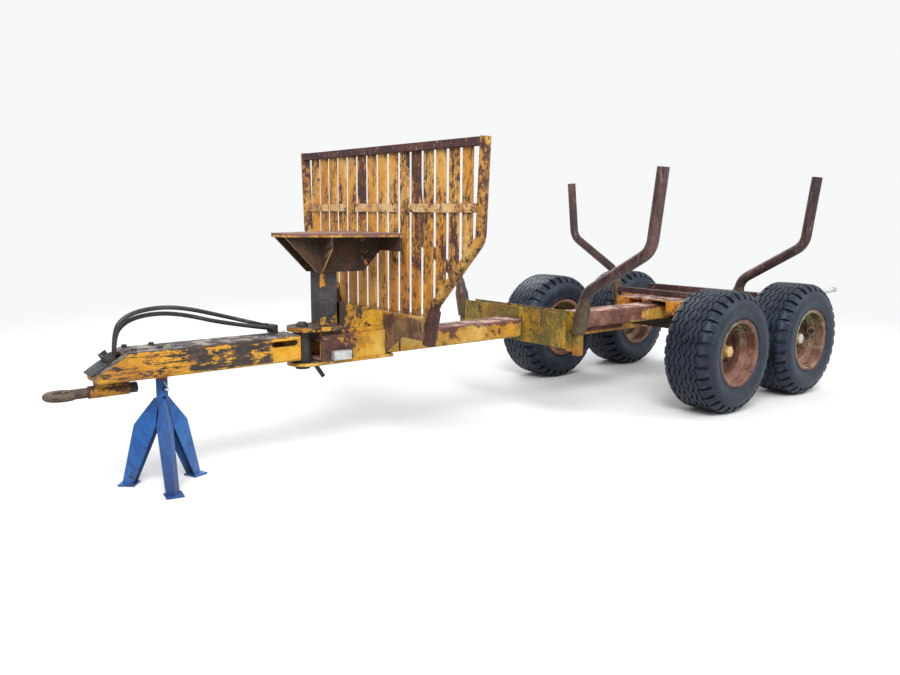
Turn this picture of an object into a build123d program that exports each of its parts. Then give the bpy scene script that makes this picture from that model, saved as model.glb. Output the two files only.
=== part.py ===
"""Two-axle forestry trailer with a single central beam, an articulated drawbar and a bare crane pedestal.

Millimetres. X runs from the towing eye back to the load, Y to the left-hand side seen from the rear,
Z up. The origin is on the ground under the middle of the whole trailer. A station is a distance back
from the tip of the towing eye.
"""

from build123d import *
import os
from math import atan2, cos, degrees, hypot, pi, radians, sin, tan

os.makedirs("parts", exist_ok=True)

total_length = 6330


def at(station):
    """Gives the X of a station, measured back from the tip of the towing eye."""
    return station - total_length / 2


# Main beam, a rectangular tube
beam_width = 180
beam_height = 120
beam_wall = 8
beam_corner = 14
beam_bottom = 545
beam_front = 1390
beam_rear = 5190
beam_top = beam_bottom + beam_height
beam_mid = beam_bottom + beam_height / 2

# Drawbar, a rectangular tube that turns about the pivot
drawbar_width = 200
drawbar_height = 140
drawbar_wall = 8
drawbar_corner = 16
drawbar_bottom = 567
drawbar_front = 222
drawbar_rear = 1262
nose_lip_height = 46
nose_slope_length = 152
nose_opening_front = 292
nose_opening_rear = 352
nose_opening_half = 40
nose_plate_width = 124
nose_plate_length = 92
nose_plate_thickness = 10
nose_plate_overhang = 24
nose_lip_width = 84
nose_lip_rise = 44
nose_lip_thickness = 8
nose_cheek_length = 40
slot_length = 150
slot_height = 30
slot_station = 1168
slot_above_bottom = 102
drawbar_top = drawbar_bottom + drawbar_height
drawbar_mid = drawbar_bottom + drawbar_height / 2

# Pivot between drawbar and main beam
pivot_station = 1327
pin_radius = 25
pin_clearance = 0.1
barrel_radius = 51
barrel_flange_radius = 58
barrel_flange_height = 14
barrel_web_inset = 10
plate_gap = 0.5
head_cheek = 8
head_cheek_height = 145
head_spacer_width = 170
top_plate_width = 220
top_plate_thickness = 25
top_plate_front = 1247
top_plate_rear = 1520
top_plate_lift = 50
bottom_plate_width = 200
bottom_plate_thickness = 18
bottom_plate_front = 1243
bottom_plate_rear = 1872
pin_head_radius = 34
pin_head_height = 24
pin_nut_radius = 40
pin_nut_height = 22
latch_rod_radius = 12
latch_rod_length = 112
latch_rod_lean = 35
latch_station = 1392
top_plate_bottom = beam_top + top_plate_lift
top_plate_top = top_plate_bottom + top_plate_thickness
bottom_plate_bottom = beam_bottom - bottom_plate_thickness

# Crane pedestal and its table
column_station = 1468
column_width = 110
column_wall = 8
table_top = 1250
table_thickness = 22
table_front = 1187
table_waist = 1427
table_rear = 1807
table_front_half = 63
table_waist_half = 178
table_rear_half = 278
table_gusset = 10
table_gusset_bottom = 1034
table_gusset_front = 1202
table_gusset_heel = 1396
table_gusset_toe = 1695
table_rear_flange_height = 80
table_side_lip = 62
brace_top_at_column = 870
brace_top_at_headboard = 802
brace_width = 160
brace_wall = 8
table_bottom = table_top - table_thickness

# Headboard
headboard_station = 1871
base_depth = 110
base_height = 130
base_half_length = 452
base_wall = 6
base_gusset = 10
base_gusset_reach = 165
base_gusset_drop = 115
post_diameter = 57
post_bend_radius = 95
post_socket_diameter = 74
post_foot = (441, 640)
post_knee = (497, 866)
post_shoulder = (859, 1227)
post_tip = (885, 1738)
slat_count = 15
slat_width = 66
slat_depth = 20
slat_wall = 4
slat_end_gap = 129
rail_height = 41
rail_depth = 50
rail_wall = 6
strap_height = 48
strap_thickness = 8
strap_overlap = 20
strap_slats = [(1, 4), (6, 9), (11, 15)]
strap_mid = 1388
base_top = beam_top + base_height

# Track: what stands between the wheels keeps its distance from the tyres' inner faces
track_half = 809
tyre_half_width = 190
beam_tyre_gap = 29
tube_tyre_gap = 23
stake_tyre_gap = 69
tyre_inner_face = track_half - tyre_half_width

# Bolsters and stakes
front_bolster_station = 2978
rear_bolster_station = 4738
bolster_depth = 110
bolster_front_offset = 50
bolster_link = 36
bolster_plate = 10
front_bolster_bottom = 525
rear_bolster_bottom = 602
front_bolster_top = 743
rear_bolster_top = 698
spigot_width = 50
front_spigot_low = 478
rear_spigot_low = 592
front_link_low = 500
rear_link_low = 594
link_top = 612
link_depth = 60
stake_diameter = 70
stake_wall = 6
stake_tip_bore = 60
stake_sleeve_diameter = 92
stake_taper_length = 45
stake_lead = 30
stake_bend_radius = 130
stake_line = tyre_inner_face - stake_tyre_gap
stake_foot = (stake_line, 620)
stake_knee = (stake_line + 58, 880)
stake_shoulder = (stake_line + 529, 1155)
stake_tip = (stake_line + 584, 1626)
bolster_half_length = stake_line - spigot_width / 2 - bolster_link
strip_width = 100
strip_height = 35
strip_wall = 6
strip_rear = 4052
rear_rail_height = 45
rear_rail_depth = 64
rear_rail_wall = 6
rear_rail_end_gap = 30
rear_rail_half_length = stake_line - rear_rail_end_gap

# Wheels: tyre size 15.0/55-17
wheel_spacing = 985
front_wheel_station = 4152
tyre_radius = 425
tyre_belly_radius = 338
tyre_wall = 17
tyre_crown = 34
tyre_bead_width = 26
tyre_shoulder_drop = 75
tyre_shoulder_inset = 56
rim_flange_radius = 235
rim_seat_radius = 216
rim_well_radius = 178
rim_half_width = 169
rim_wall = 7
seat_gap = 0.3
disc_offset = 5
disc_thickness = 12
hub_radius = 72
hub_inner = 96
hub_cap_radius = 40
hub_cap_reach = 86
hub_flange_radius = 48
hub_flange = 12
hub_step = 18
stub_radius = 30
stub_clearance = 0.1
stub_end_gap = 12

# Bogie
bogie_pivot_height = 500
bogie_axle_depth = 80
bogie_axle_height = 90
bogie_axle_wall = 8
bogie_pivot_radius = 40
bogie_pivot_clearance = 0.1
bogie_beam_width = 80
bogie_beam_inner = tyre_inner_face - beam_tyre_gap - bogie_beam_width
bogie_pivot_boss = 78
bogie_end_boss = 58
bogie_washer = 12
bogie_washer_radius = 56
stub_collar = 18
saddle_front = 4402
saddle_rear = 4652
saddle_inner = 180
saddle_half_width = 300
saddle_bottom = 590
saddle_top = 700
saddle_plate = 10
saddle_wall = 10
riser_inner = 150
riser_outer = 330

# Rear cross bar and the galvanised extension tube at its near end
cross_bar_station = 5152
cross_bar_depth = 60
cross_bar_height = 56
cross_bar_wall = 5
cross_bar_lift = 28
cross_bar_seat_length = 90
extension_diameter = 48
extension_wall = 4
extension_front = 5050
extension_height = 661
extension_slope = 2.5
extension_plate = 8
extension_plate_length = 100
extension_weld = 2
cross_bar_half_length = tyre_inner_face - tube_tyre_gap - extension_diameter - extension_plate

# Towing eye and its housing
eye_radius = 76
eye_hole_radius = 38
eye_thickness = 30
eye_round = 8
eye_height = 520
shank_radius = 20
neck_radius = 24
housing_front = 196
housing_rear = 380
housing_radius = 30
housing_gap = 0.5
eye_nut_radius = 27
eye_nut_length = 38

# Axle stand under the drawbar
stand_station = 541
stand_post_radius = 28
stand_post_wall = 4
stand_post_bottom = 300
stand_leg_top = 448
stand_top_reach = 12
stand_leg_knee = 310
stand_leg_knee_reach = 150
stand_knee_half_width = 40
stand_leg_reach = 222
stand_leg_sheet = 5
stand_leg_toe = 66
stand_leg_count = 3
stand_leg_turn = 20
stand_foot_size = 84
stand_foot_height = 8
stand_saddle_radius = 33
stand_saddle_height = 22
stand_pin_radius = 7
stand_pin_length = 92
stand_pin_height = 498

# Hoses
hose_diameter = 22
hose_socket_radius = 15
ferrule_radius = 15
ferrule_length = 34
hose_block_station = 1186
hose_block_middle = 74
hose_block_length = 30
hose_block_width = 74
hose_block_height = 46

# Bracket on the near side of the beam head
bracket_length = 112
bracket_height = 50
bracket_depth = 32
bracket_wall = 3
bracket_station = 1510
bracket_bottom = 550

lay_side = Plane.XZ
front_view = Plane.YZ


def across(station):
    """Gives the plane square to the trailer's length at a station, with Y across and Z up."""
    return Plane.YZ.offset(at(station))


def bent_path(station, points, radius):
    """Gives a bent centre line in the plane across the trailer, from its foot to its tip."""
    with BuildLine(across(station)) as line:
        FilletPolyline(*points, radius=radius)
    return line.line


def mirrored(points):
    """Mirrors points of the cross plane to the other side of the trailer."""
    return [(-y, z) for y, z in points]


# Main beam
with BuildPart() as main_beam:
    with BuildSketch(across(beam_front)):
        with Locations((0, beam_mid)):
            RectangleRounded(beam_width, beam_height, beam_corner)
            RectangleRounded(
                beam_width - 2 * beam_wall,
                beam_height - 2 * beam_wall,
                beam_corner - beam_wall,
                mode=Mode.SUBTRACT,
            )
    extrude(amount=beam_rear - beam_front)
main_beam.part.label = "main_beam"
export_step(main_beam.part, "parts/main_beam.step")

# Channel strip under the beam, behind the front bolster
strip_front = front_bolster_station - bolster_front_offset + bolster_depth
with BuildPart() as beam_strip:
    with BuildSketch(across(strip_front)):
        with Locations((0, beam_bottom - strip_height / 2)):
            Rectangle(strip_width, strip_height)
        with Locations((0, beam_bottom - strip_height / 2 - strip_wall)):
            Rectangle(strip_width - 2 * strip_wall, strip_height, mode=Mode.SUBTRACT)
    extrude(amount=strip_rear - strip_front)
beam_strip.part.label = "beam_strip"
export_step(beam_strip.part, "parts/beam_strip.step")

# Head of the beam: two cheeks and a spacer that carries the top plate
base_front = headboard_station - base_depth / 2
cheek_top = beam_bottom + head_cheek_height
with BuildPart() as beam_head:
    with BuildSketch(across(beam_front)):
        with Locations((0, (beam_bottom + cheek_top) / 2)):
            Rectangle(beam_width + 2 * head_cheek, head_cheek_height)
        with Locations((0, (beam_top + top_plate_bottom) / 2)):
            Rectangle(head_spacer_width, top_plate_lift)
        with Locations((0, beam_mid)):
            Rectangle(beam_width, beam_height, mode=Mode.SUBTRACT)
    extrude(amount=base_front - beam_front)
beam_head.part.label = "beam_head"
export_step(beam_head.part, "parts/beam_head.step")

# Pivot plates with round noses
with BuildPart() as pivot_top_plate:
    nose_x = at(top_plate_front) + top_plate_width / 2
    with BuildSketch(Plane.XY.offset(top_plate_bottom)):
        with Locations((nose_x, 0)):
            Circle(top_plate_width / 2)
        with Locations(((nose_x + at(top_plate_rear)) / 2, 0)):
            Rectangle(at(top_plate_rear) - nose_x, top_plate_width)
        with Locations((at(pivot_station), 0)):
            Circle(pin_radius + pin_clearance, mode=Mode.SUBTRACT)
    extrude(amount=top_plate_thickness)
pivot_top_plate.part.label = "pivot_top_plate"
export_step(pivot_top_plate.part, "parts/pivot_top_plate.step")

with BuildPart() as pivot_bottom_plate:
    nose_x = at(bottom_plate_front) + bottom_plate_width / 2
    with BuildSketch(Plane.XY.offset(bottom_plate_bottom)):
        with Locations((nose_x, 0)):
            Circle(bottom_plate_width / 2)
        with Locations(((nose_x + at(bottom_plate_rear)) / 2, 0)):
            Rectangle(at(bottom_plate_rear) - nose_x, bottom_plate_width)
        with Locations((at(pivot_station), 0)):
            Circle(pin_radius + pin_clearance, mode=Mode.SUBTRACT)
    extrude(amount=bottom_plate_thickness)
    rod_top = (at(latch_station), 0, bottom_plate_bottom + bottom_plate_thickness / 2)
    rod_way = (sin(radians(latch_rod_lean)), 0, -cos(radians(latch_rod_lean)))
    with BuildSketch(Plane(origin=rod_top, z_dir=rod_way)):
        Circle(latch_rod_radius)
    extrude(amount=latch_rod_length)
    with BuildSketch(Plane.XY.offset(bottom_plate_bottom + bottom_plate_thickness)):
        with Locations((at(latch_station), 0)):
            Rectangle(4 * latch_rod_radius, 4 * latch_rod_radius)
    extrude(amount=latch_rod_radius * 2, mode=Mode.SUBTRACT)
pivot_bottom_plate.part.label = "pivot_bottom_plate"
export_step(pivot_bottom_plate.part, "parts/pivot_bottom_plate.step")

# Pivot pin with its head on the top plate and its nut under the bottom plate
with BuildPart() as pivot_pin:
    with BuildSketch(lay_side) as pin_half:
        with BuildLine():
            x = at(pivot_station)
            head_top = top_plate_top + pin_head_height
            nut_bottom = bottom_plate_bottom - pin_nut_height
            Polyline(
                (x, nut_bottom),
                (x + pin_nut_radius, nut_bottom),
                (x + pin_nut_radius, bottom_plate_bottom),
                (x + pin_radius, bottom_plate_bottom),
                (x + pin_radius, top_plate_top),
                (x + pin_head_radius, top_plate_top),
                (x + pin_head_radius, head_top - 14),
            )
            Polyline(
                (x + pin_head_radius, head_top - 14),
                (x + pin_head_radius * 0.6, head_top),
                (x, head_top),
                (x, nut_bottom),
            )
        make_face()
    revolve(axis=Axis((at(pivot_station), 0, 0), (0, 0, 1)))
pivot_pin.part.label = "pivot_pin"
export_step(pivot_pin.part, "parts/pivot_pin.step")

# Galvanised bracket on the near side of the beam head
with BuildPart() as side_bracket:
    cheek_face = beam_width / 2 + head_cheek
    with BuildSketch(Plane.XY.offset(bracket_bottom)):
        with Locations((at(bracket_station), -cheek_face - bracket_depth / 2)):
            Rectangle(bracket_length, bracket_depth)
    extrude(amount=bracket_height)
    with BuildSketch(Plane.XY.offset(bracket_bottom + bracket_wall)):
        with Locations((at(bracket_station), -cheek_face - bracket_depth / 2)):
            Rectangle(bracket_length - 2 * bracket_wall, bracket_depth - 2 * bracket_wall)
    extrude(amount=bracket_height, mode=Mode.SUBTRACT)
side_bracket.part.label = "side_bracket"
export_step(side_bracket.part, "parts/side_bracket.step")

# Pedestal column
with BuildPart() as pedestal_column:
    with BuildSketch(Plane.XY.offset(top_plate_top)):
        with Locations((at(column_station), 0)):
            RectangleRounded(column_width, column_width, 10)
            Rectangle(
                column_width - 2 * column_wall, column_width - 2 * column_wall, mode=Mode.SUBTRACT
            )
    extrude(amount=table_bottom - top_plate_top)
pedestal_column.part.label = "pedestal_column"
export_step(pedestal_column.part, "parts/pedestal_column.step")

# Crane table: a plate that widens to the rear, on two side gussets, two wing gussets and a rear flange
wing_top = table_waist_half - 3
with BuildPart() as crane_table:
    with BuildSketch(Plane.XY.offset(table_bottom)):
        with BuildLine():
            Polyline(
                (at(table_front), -table_front_half),
                (at(table_waist), -table_waist_half),
                (at(table_rear), -table_rear_half),
                (at(table_rear), table_rear_half),
                (at(table_waist), table_waist_half),
                (at(table_front), table_front_half),
                close=True,
            )
        make_face()
    extrude(amount=table_thickness)
    gusset_inner = column_width / 2
    for side in (-1, 1):
        outer = side * (gusset_inner + table_gusset)
        with BuildSketch(Plane.XZ.offset(-side * gusset_inner)):
            with BuildLine():
                Polyline(
                    (at(table_gusset_front), table_bottom),
                    (at(table_gusset_heel), table_gusset_bottom),
                    (at(table_gusset_toe), table_gusset_bottom),
                    (at(table_rear), table_bottom - table_rear_flange_height),
                    (at(table_rear), table_bottom),
                    close=True,
                )
            make_face()
        extrude(amount=-side * table_gusset)
        with BuildSketch(across(table_waist - table_gusset)):
            with BuildLine():
                Polyline(
                    (outer, table_bottom),
                    (side * wing_top, table_bottom),
                    (side * wing_top, table_bottom - table_side_lip),
                    (outer, table_gusset_bottom),
                    close=True,
                )
            make_face()
        extrude(amount=table_gusset)
    with BuildSketch(across(table_rear - table_gusset)):
        with Locations((0, table_bottom - table_rear_flange_height / 2)):
            Rectangle(2 * table_rear_half, table_rear_flange_height)
    extrude(amount=table_gusset)
crane_table.part.label = "crane_table"
export_step(crane_table.part, "parts/crane_table.step")

# Brace box between column and headboard base, open below
with BuildPart() as pedestal_brace:
    column_rear = at(column_station) + column_width / 2
    with BuildSketch(Plane.XZ.offset(-brace_width / 2)):
        with BuildLine():
            Polyline(
                (column_rear, top_plate_top),
                (at(top_plate_rear), top_plate_top),
                (at(top_plate_rear), top_plate_bottom),
                (at(base_front), top_plate_bottom),
                (at(base_front), brace_top_at_headboard - 8),
                (column_rear, brace_top_at_column),
                close=True,
            )
        make_face()
    extrude(amount=brace_width)
    with BuildSketch(Plane.XZ.offset(-brace_width / 2 + brace_wall)):
        with BuildLine():
            Polyline(
                (column_rear, top_plate_bottom - 1),
                (at(base_front), top_plate_bottom - 1),
                (at(base_front), brace_top_at_headboard - 8 - brace_wall),
                (column_rear, brace_top_at_column - brace_wall),
                close=True,
            )
        make_face()
    extrude(amount=brace_width - 2 * brace_wall, mode=Mode.SUBTRACT)
pedestal_brace.part.label = "pedestal_brace"
export_step(pedestal_brace.part, "parts/pedestal_brace.step")


# Headboard posts: one bent pipe a side, closed at both ends
post_points = [post_foot, post_knee, post_shoulder, post_tip]


def post_pipe(points, radius):
    """Sweeps a round bar of a radius along the bent line of a headboard post."""
    path = bent_path(headboard_station, points, post_bend_radius)
    with BuildPart() as pipe:
        with BuildSketch(Plane(origin=path @ 0, z_dir=path % 0)):
            Circle(radius)
        sweep(path=path)
    return pipe.part


post_bars = [post_pipe(side, post_diameter / 2) for side in (post_points, mirrored(post_points))]



def post_socket(side):
    """Builds the wider pipe round the foot of a post, cut off square to it below the knee."""
    rise = Vector(post_knee[0] - post_foot[0], post_knee[1] - post_foot[1])
    up = rise.normalized()
    foot = Plane(
        origin=(at(headboard_station), side * post_foot[0], post_foot[1]), z_dir=(0, side * up.X, up.Y)
    )
    with BuildPart() as socket:
        with BuildSketch(foot):
            Circle(post_socket_diameter / 2)
        extrude(amount=rise.length - post_socket_diameter / 2)
    return socket.part


socket_bars = [post_socket(side) for side in (1, -1)]
post_bars = [bar + socket for bar, socket in zip(post_bars, socket_bars)]

with BuildPart() as headboard_posts:
    for bar in post_bars:
        add(bar)
headboard_posts.part.label = "headboard_posts"
export_step(headboard_posts.part, "parts/headboard_posts.step")

# Headboard base: a tube across the beam with a gusset down each side of it
with BuildPart() as headboard_base:
    with BuildSketch(Plane.XZ.offset(-base_half_length)):
        with Locations((at(headboard_station), beam_top + base_height / 2)):
            RectangleRounded(base_depth, base_height, 8)
    extrude(amount=2 * base_half_length)
    with BuildSketch(Plane.XZ.offset(base_wall - base_half_length)):
        with Locations((at(headboard_station), beam_top + base_height / 2)):
            Rectangle(base_depth - 2 * base_wall, base_height - 2 * base_wall)
    extrude(amount=2 * (base_half_length - base_wall), mode=Mode.SUBTRACT)
    beam_side = beam_width / 2
    for side in (-1, 1):
        with BuildSketch(across(base_front)):
            with BuildLine():
                Polyline(
                    (side * beam_side, beam_top + 2 * base_wall),
                    (side * (beam_side + base_gusset_reach), beam_top + 2 * base_wall),
                    (side * (beam_side + base_gusset_reach), beam_top),
                    (side * beam_side, beam_top - base_gusset_drop),
                    close=True,
                )
            make_face()
        extrude(amount=base_gusset)
    for bar in post_bars:
        add(bar, mode=Mode.SUBTRACT)
headboard_base.part.label = "headboard_base"
export_step(headboard_base.part, "parts/headboard_base.step")

# Top rail: a channel between the posts, open below
rail_top = post_tip[1] - 2
rail_half_length = post_tip[0]
with BuildPart() as headboard_rail:
    with BuildSketch(Plane.XZ.offset(-rail_half_length)):
        with Locations((at(headboard_station), rail_top - rail_height / 2)):
            Rectangle(rail_depth, rail_height)
        with Locations((at(headboard_station), rail_top - rail_height / 2 - rail_wall)):
            Rectangle(rail_depth - 2 * rail_wall, rail_height, mode=Mode.SUBTRACT)
    extrude(amount=2 * rail_half_length)
    for bar in post_bars:
        add(bar, mode=Mode.SUBTRACT)
headboard_rail.part.label = "headboard_rail"
export_step(headboard_rail.part, "parts/headboard_rail.step")

# Slats: flat tubes that run up into the rail, the outer ones off the sloping posts
slat_pitch = 2 * (post_tip[0] - slat_end_gap) / (slat_count - 1)
slat_top = rail_top - rail_wall
slope_start, slope_rise = post_knee[0], (post_shoulder[1] - post_knee[1]) / (
    post_shoulder[0] - post_knee[0]
)


def slat_foot(y, middle):
    """Gives the height where a slat's edge starts: on the base, or on the post's centre line."""
    if abs(middle) <= base_half_length:
        return base_top
    return max(base_top, post_knee[1] + (abs(y) - slope_start) * slope_rise)


with BuildPart() as headboard_slats:
    with BuildSketch(across(headboard_station - slat_depth / 2)):
        for number in range(slat_count):
            middle = (number - (slat_count - 1) / 2) * slat_pitch
            inner, outer = middle - slat_width / 2, middle + slat_width / 2
            with BuildLine():
                Polyline(
                    (inner, slat_foot(inner, middle)),
                    (outer, slat_foot(outer, middle)),
                    (outer, slat_top),
                    (inner, slat_top),
                    close=True,
                )
            make_face()
    extrude(amount=slat_depth)
    with BuildSketch(across(headboard_station - slat_depth / 2 + slat_wall)):
        for number in range(slat_count):
            with Locations(
                ((number - (slat_count - 1) / 2) * slat_pitch, (base_top + slat_top) / 2)
            ):
                Rectangle(slat_width - 2 * slat_wall, slat_top - base_top)
    extrude(amount=slat_depth - 2 * slat_wall, mode=Mode.SUBTRACT)
    for bar in post_bars:
        add(bar, mode=Mode.SUBTRACT)
headboard_slats.part.label = "headboard_slats"
export_step(headboard_slats.part, "parts/headboard_slats.step")

# Straps on the front of the slats, each over a run of slats counted from the far post


def slat_middle(number):
    """Gives the Y of a slat's middle, counted from 1 at the far post."""
    return ((slat_count + 1) / 2 - number) * slat_pitch


with BuildPart() as headboard_straps:
    with BuildSketch(across(headboard_station - slat_depth / 2 - strap_thickness)):
        for first, last in strap_slats:
            start = slat_middle(first) + slat_width / 2 + strap_overlap
            end = slat_middle(last) - slat_width / 2 - strap_overlap
            start = post_tip[0] if first == 1 else start
            end = -post_tip[0] if last == slat_count else end
            with Locations(((start + end) / 2, strap_mid)):
                Rectangle(start - end, strap_height)
    extrude(amount=strap_thickness)
    for bar in post_bars:
        add(bar, mode=Mode.SUBTRACT)
headboard_straps.part.label = "headboard_straps"
export_step(headboard_straps.part, "parts/headboard_straps.step")


def bolster(station, top, bottom, link_low, spigot_low):
    """Builds a trough across the beam, open above, with a stake spigot on a link at each end."""
    front = station - bolster_front_offset
    height = top - bottom
    link_outer = stake_foot[0] - spigot_width / 2
    with BuildPart() as trough:
        for plate_front in (front, front + bolster_depth - bolster_plate):
            with BuildSketch(across(plate_front)):
                with Locations((0, bottom + height / 2)):
                    Rectangle(2 * bolster_half_length, height)
            extrude(amount=bolster_plate)
        with BuildSketch(across(front)):
            with Locations((0, bottom - bolster_plate / 2)):
                Rectangle(2 * bolster_half_length, bolster_plate)
        extrude(amount=bolster_depth)
        for side in (-1, 1):
            with BuildSketch(Plane.XY.offset(link_low)):
                with Locations((at(station), side * (bolster_half_length - 10 + link_outer) / 2)):
                    Rectangle(link_depth, link_outer - bolster_half_length + 10)
            extrude(amount=link_top - link_low)
            with BuildSketch(across(front + bolster_plate)):
                with Locations((side * (bolster_half_length - 5), (bottom + link_top) / 2)):
                    Rectangle(10, link_top - bottom)
            extrude(amount=bolster_depth - 2 * bolster_plate)
            with BuildSketch(Plane.XY.offset(spigot_low)):
                with Locations((at(station), side * stake_foot[0])):
                    RectangleRounded(spigot_width, spigot_width, 5)
            extrude(amount=stake_foot[1] - spigot_low)
        with BuildSketch(across(front)):
            with Locations((0, beam_mid)):
                Rectangle(beam_width, beam_height)
        extrude(amount=bolster_depth, mode=Mode.SUBTRACT)
    return trough


front_bolster = bolster(
    front_bolster_station, front_bolster_top, front_bolster_bottom, front_link_low, front_spigot_low
)
front_bolster.part.label = "front_bolster"
export_step(front_bolster.part, "parts/front_bolster.step")

rear_bolster = bolster(
    rear_bolster_station, rear_bolster_top, rear_bolster_bottom, rear_link_low, rear_spigot_low
)
rear_bolster.part.label = "rear_bolster"
export_step(rear_bolster.part, "parts/rear_bolster.step")


def stake_pair(station):
    """Builds the two bent pipe stakes of a bolster, each with a wider sleeve at its foot."""
    rise = Vector(stake_knee[0] - stake_foot[0], stake_knee[1] - stake_foot[1])
    slope = Vector(stake_shoulder[0] - stake_knee[0], stake_shoulder[1] - stake_knee[1])
    bend_start = rise.length - stake_bend_radius * tan(radians(rise.get_angle(slope)) / 2)
    up = rise.normalized()
    lead = -stake_lead
    start = (stake_foot[0] + up.X * lead, stake_foot[1] + up.Y * lead)
    collar = (stake_foot[0] + up.X * bend_start, stake_foot[1] + up.Y * bend_start)
    sleeve_length = bend_start - lead - stake_taper_length
    bore = stake_diameter / 2 - stake_wall
    with BuildPart() as pair:
        for side in (-1, 1):
            foot = Plane(
                origin=(at(station), side * start[0], start[1]), z_dir=(0, side * up.X, up.Y)
            )
            with BuildSketch(foot):
                Circle(stake_sleeve_diameter / 2)
            extrude(amount=sleeve_length)
            with BuildSketch(foot.offset(sleeve_length)):
                Circle(stake_sleeve_diameter / 2)
            with BuildSketch(foot.offset(sleeve_length + stake_taper_length)):
                Circle(stake_diameter / 2)
            loft()
            points = [(side * y, z) for y, z in (collar, stake_knee, stake_shoulder, stake_tip)]
            path = bent_path(station, points, stake_bend_radius * 0.999)
            with BuildSketch(Plane(origin=path @ 0, z_dir=path % 0)):
                Circle(stake_diameter / 2)
            sweep(path=path)
            with BuildSketch(Plane(origin=path @ 1, z_dir=-(path % 1))):
                Circle(bore)
            extrude(amount=stake_tip_bore, mode=Mode.SUBTRACT)
        with BuildSketch(Plane.XY.offset(stake_foot[1])):
            with Locations((at(station), 0)):
                Rectangle(3 * stake_sleeve_diameter, 4 * stake_foot[0])
        extrude(amount=-3 * stake_sleeve_diameter, mode=Mode.SUBTRACT)
    return pair


front_stakes = stake_pair(front_bolster_station)
front_stakes.part.label = "front_stakes"
export_step(front_stakes.part, "parts/front_stakes.step")

rear_stakes = stake_pair(rear_bolster_station)
rear_stakes.part.label = "rear_stakes"
export_step(rear_stakes.part, "parts/rear_stakes.step")

# Channel on top of the rear bolster, open below
with BuildPart() as rear_rail:
    with BuildSketch(Plane.XZ.offset(-rear_rail_half_length)):
        rail_x = at(rear_bolster_station - bolster_front_offset) + rear_rail_depth / 2
        with Locations((rail_x, rear_bolster_top + rear_rail_height / 2)):
            Rectangle(rear_rail_depth, rear_rail_height)
        with Locations((rail_x, rear_bolster_top + rear_rail_height / 2 - rear_rail_wall)):
            Rectangle(rear_rail_depth - 2 * rear_rail_wall, rear_rail_height, mode=Mode.SUBTRACT)
    extrude(amount=2 * rear_rail_half_length)
rear_rail.part.label = "rear_rail"
export_step(rear_rail.part, "parts/rear_rail.step")

# Saddle over the beam: a block a side under one top plate
with BuildPart() as bogie_saddle:
    with BuildSketch(across(saddle_front)):
        for side in (-1, 1):
            with Locations((side * (saddle_inner + saddle_half_width) / 2, (saddle_bottom + saddle_top) / 2)):
                Rectangle(saddle_half_width - saddle_inner, saddle_top - saddle_bottom)
                Rectangle(
                    saddle_half_width - saddle_inner - 2 * saddle_wall,
                    saddle_top - saddle_bottom - 2 * saddle_wall,
                    mode=Mode.SUBTRACT,
                )
        with Locations((0, saddle_top - saddle_plate / 2)):
            Rectangle(2 * saddle_half_width, saddle_plate)
        with Locations((0, (beam_top + saddle_top) / 2 - saddle_plate / 2)):
            Rectangle(beam_width / 2, saddle_top - saddle_plate - beam_top)
    extrude(amount=saddle_rear - saddle_front)
    for side in (-1, 1):
        with BuildSketch(across(saddle_front)):
            with Locations((side * (saddle_inner + saddle_half_width) / 2, (saddle_bottom + saddle_top) / 2)):
                Rectangle(saddle_half_width - saddle_inner, saddle_top - saddle_bottom)
        extrude(amount=saddle_wall)
bogie_saddle.part.label = "bogie_saddle"
export_step(bogie_saddle.part, "parts/bogie_saddle.step")

# Bogie axle: a box across under the beam, with risers to the saddle and a round pivot at each end
bogie_station = front_wheel_station + wheel_spacing / 2
washer_outer = bogie_beam_inner + bogie_beam_width + bogie_washer
with BuildPart() as bogie_axle:
    with BuildSketch(Plane.XZ.offset(-bogie_beam_inner)):
        with Locations((at(bogie_station), bogie_pivot_height)):
            Rectangle(bogie_axle_depth, bogie_axle_height)
    extrude(amount=2 * bogie_beam_inner)
    for side in (-1, 1):
        riser_mid = side * (riser_inner + riser_outer) / 2
        with BuildSketch(Plane.XY.offset(bogie_pivot_height + bogie_axle_height / 2)):
            with Locations((at(bogie_station - bogie_axle_depth / 4), riser_mid)):
                Rectangle(bogie_axle_depth / 2, riser_outer - riser_inner)
        extrude(amount=saddle_bottom - bogie_pivot_height - bogie_axle_height / 2)
        with BuildSketch(Plane.XZ.offset(-side * bogie_beam_inner)):
            with Locations((at(bogie_station), bogie_pivot_height)):
                Circle(bogie_pivot_radius)
        extrude(amount=-side * (washer_outer - bogie_beam_inner))
        with BuildSketch(Plane.XZ.offset(-side * (washer_outer - bogie_washer))):
            with Locations((at(bogie_station), bogie_pivot_height)):
                Circle(bogie_washer_radius)
        extrude(amount=-side * bogie_washer)
bogie_axle.part.label = "bogie_axle"
export_step(bogie_axle.part, "parts/bogie_axle.step")

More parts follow.
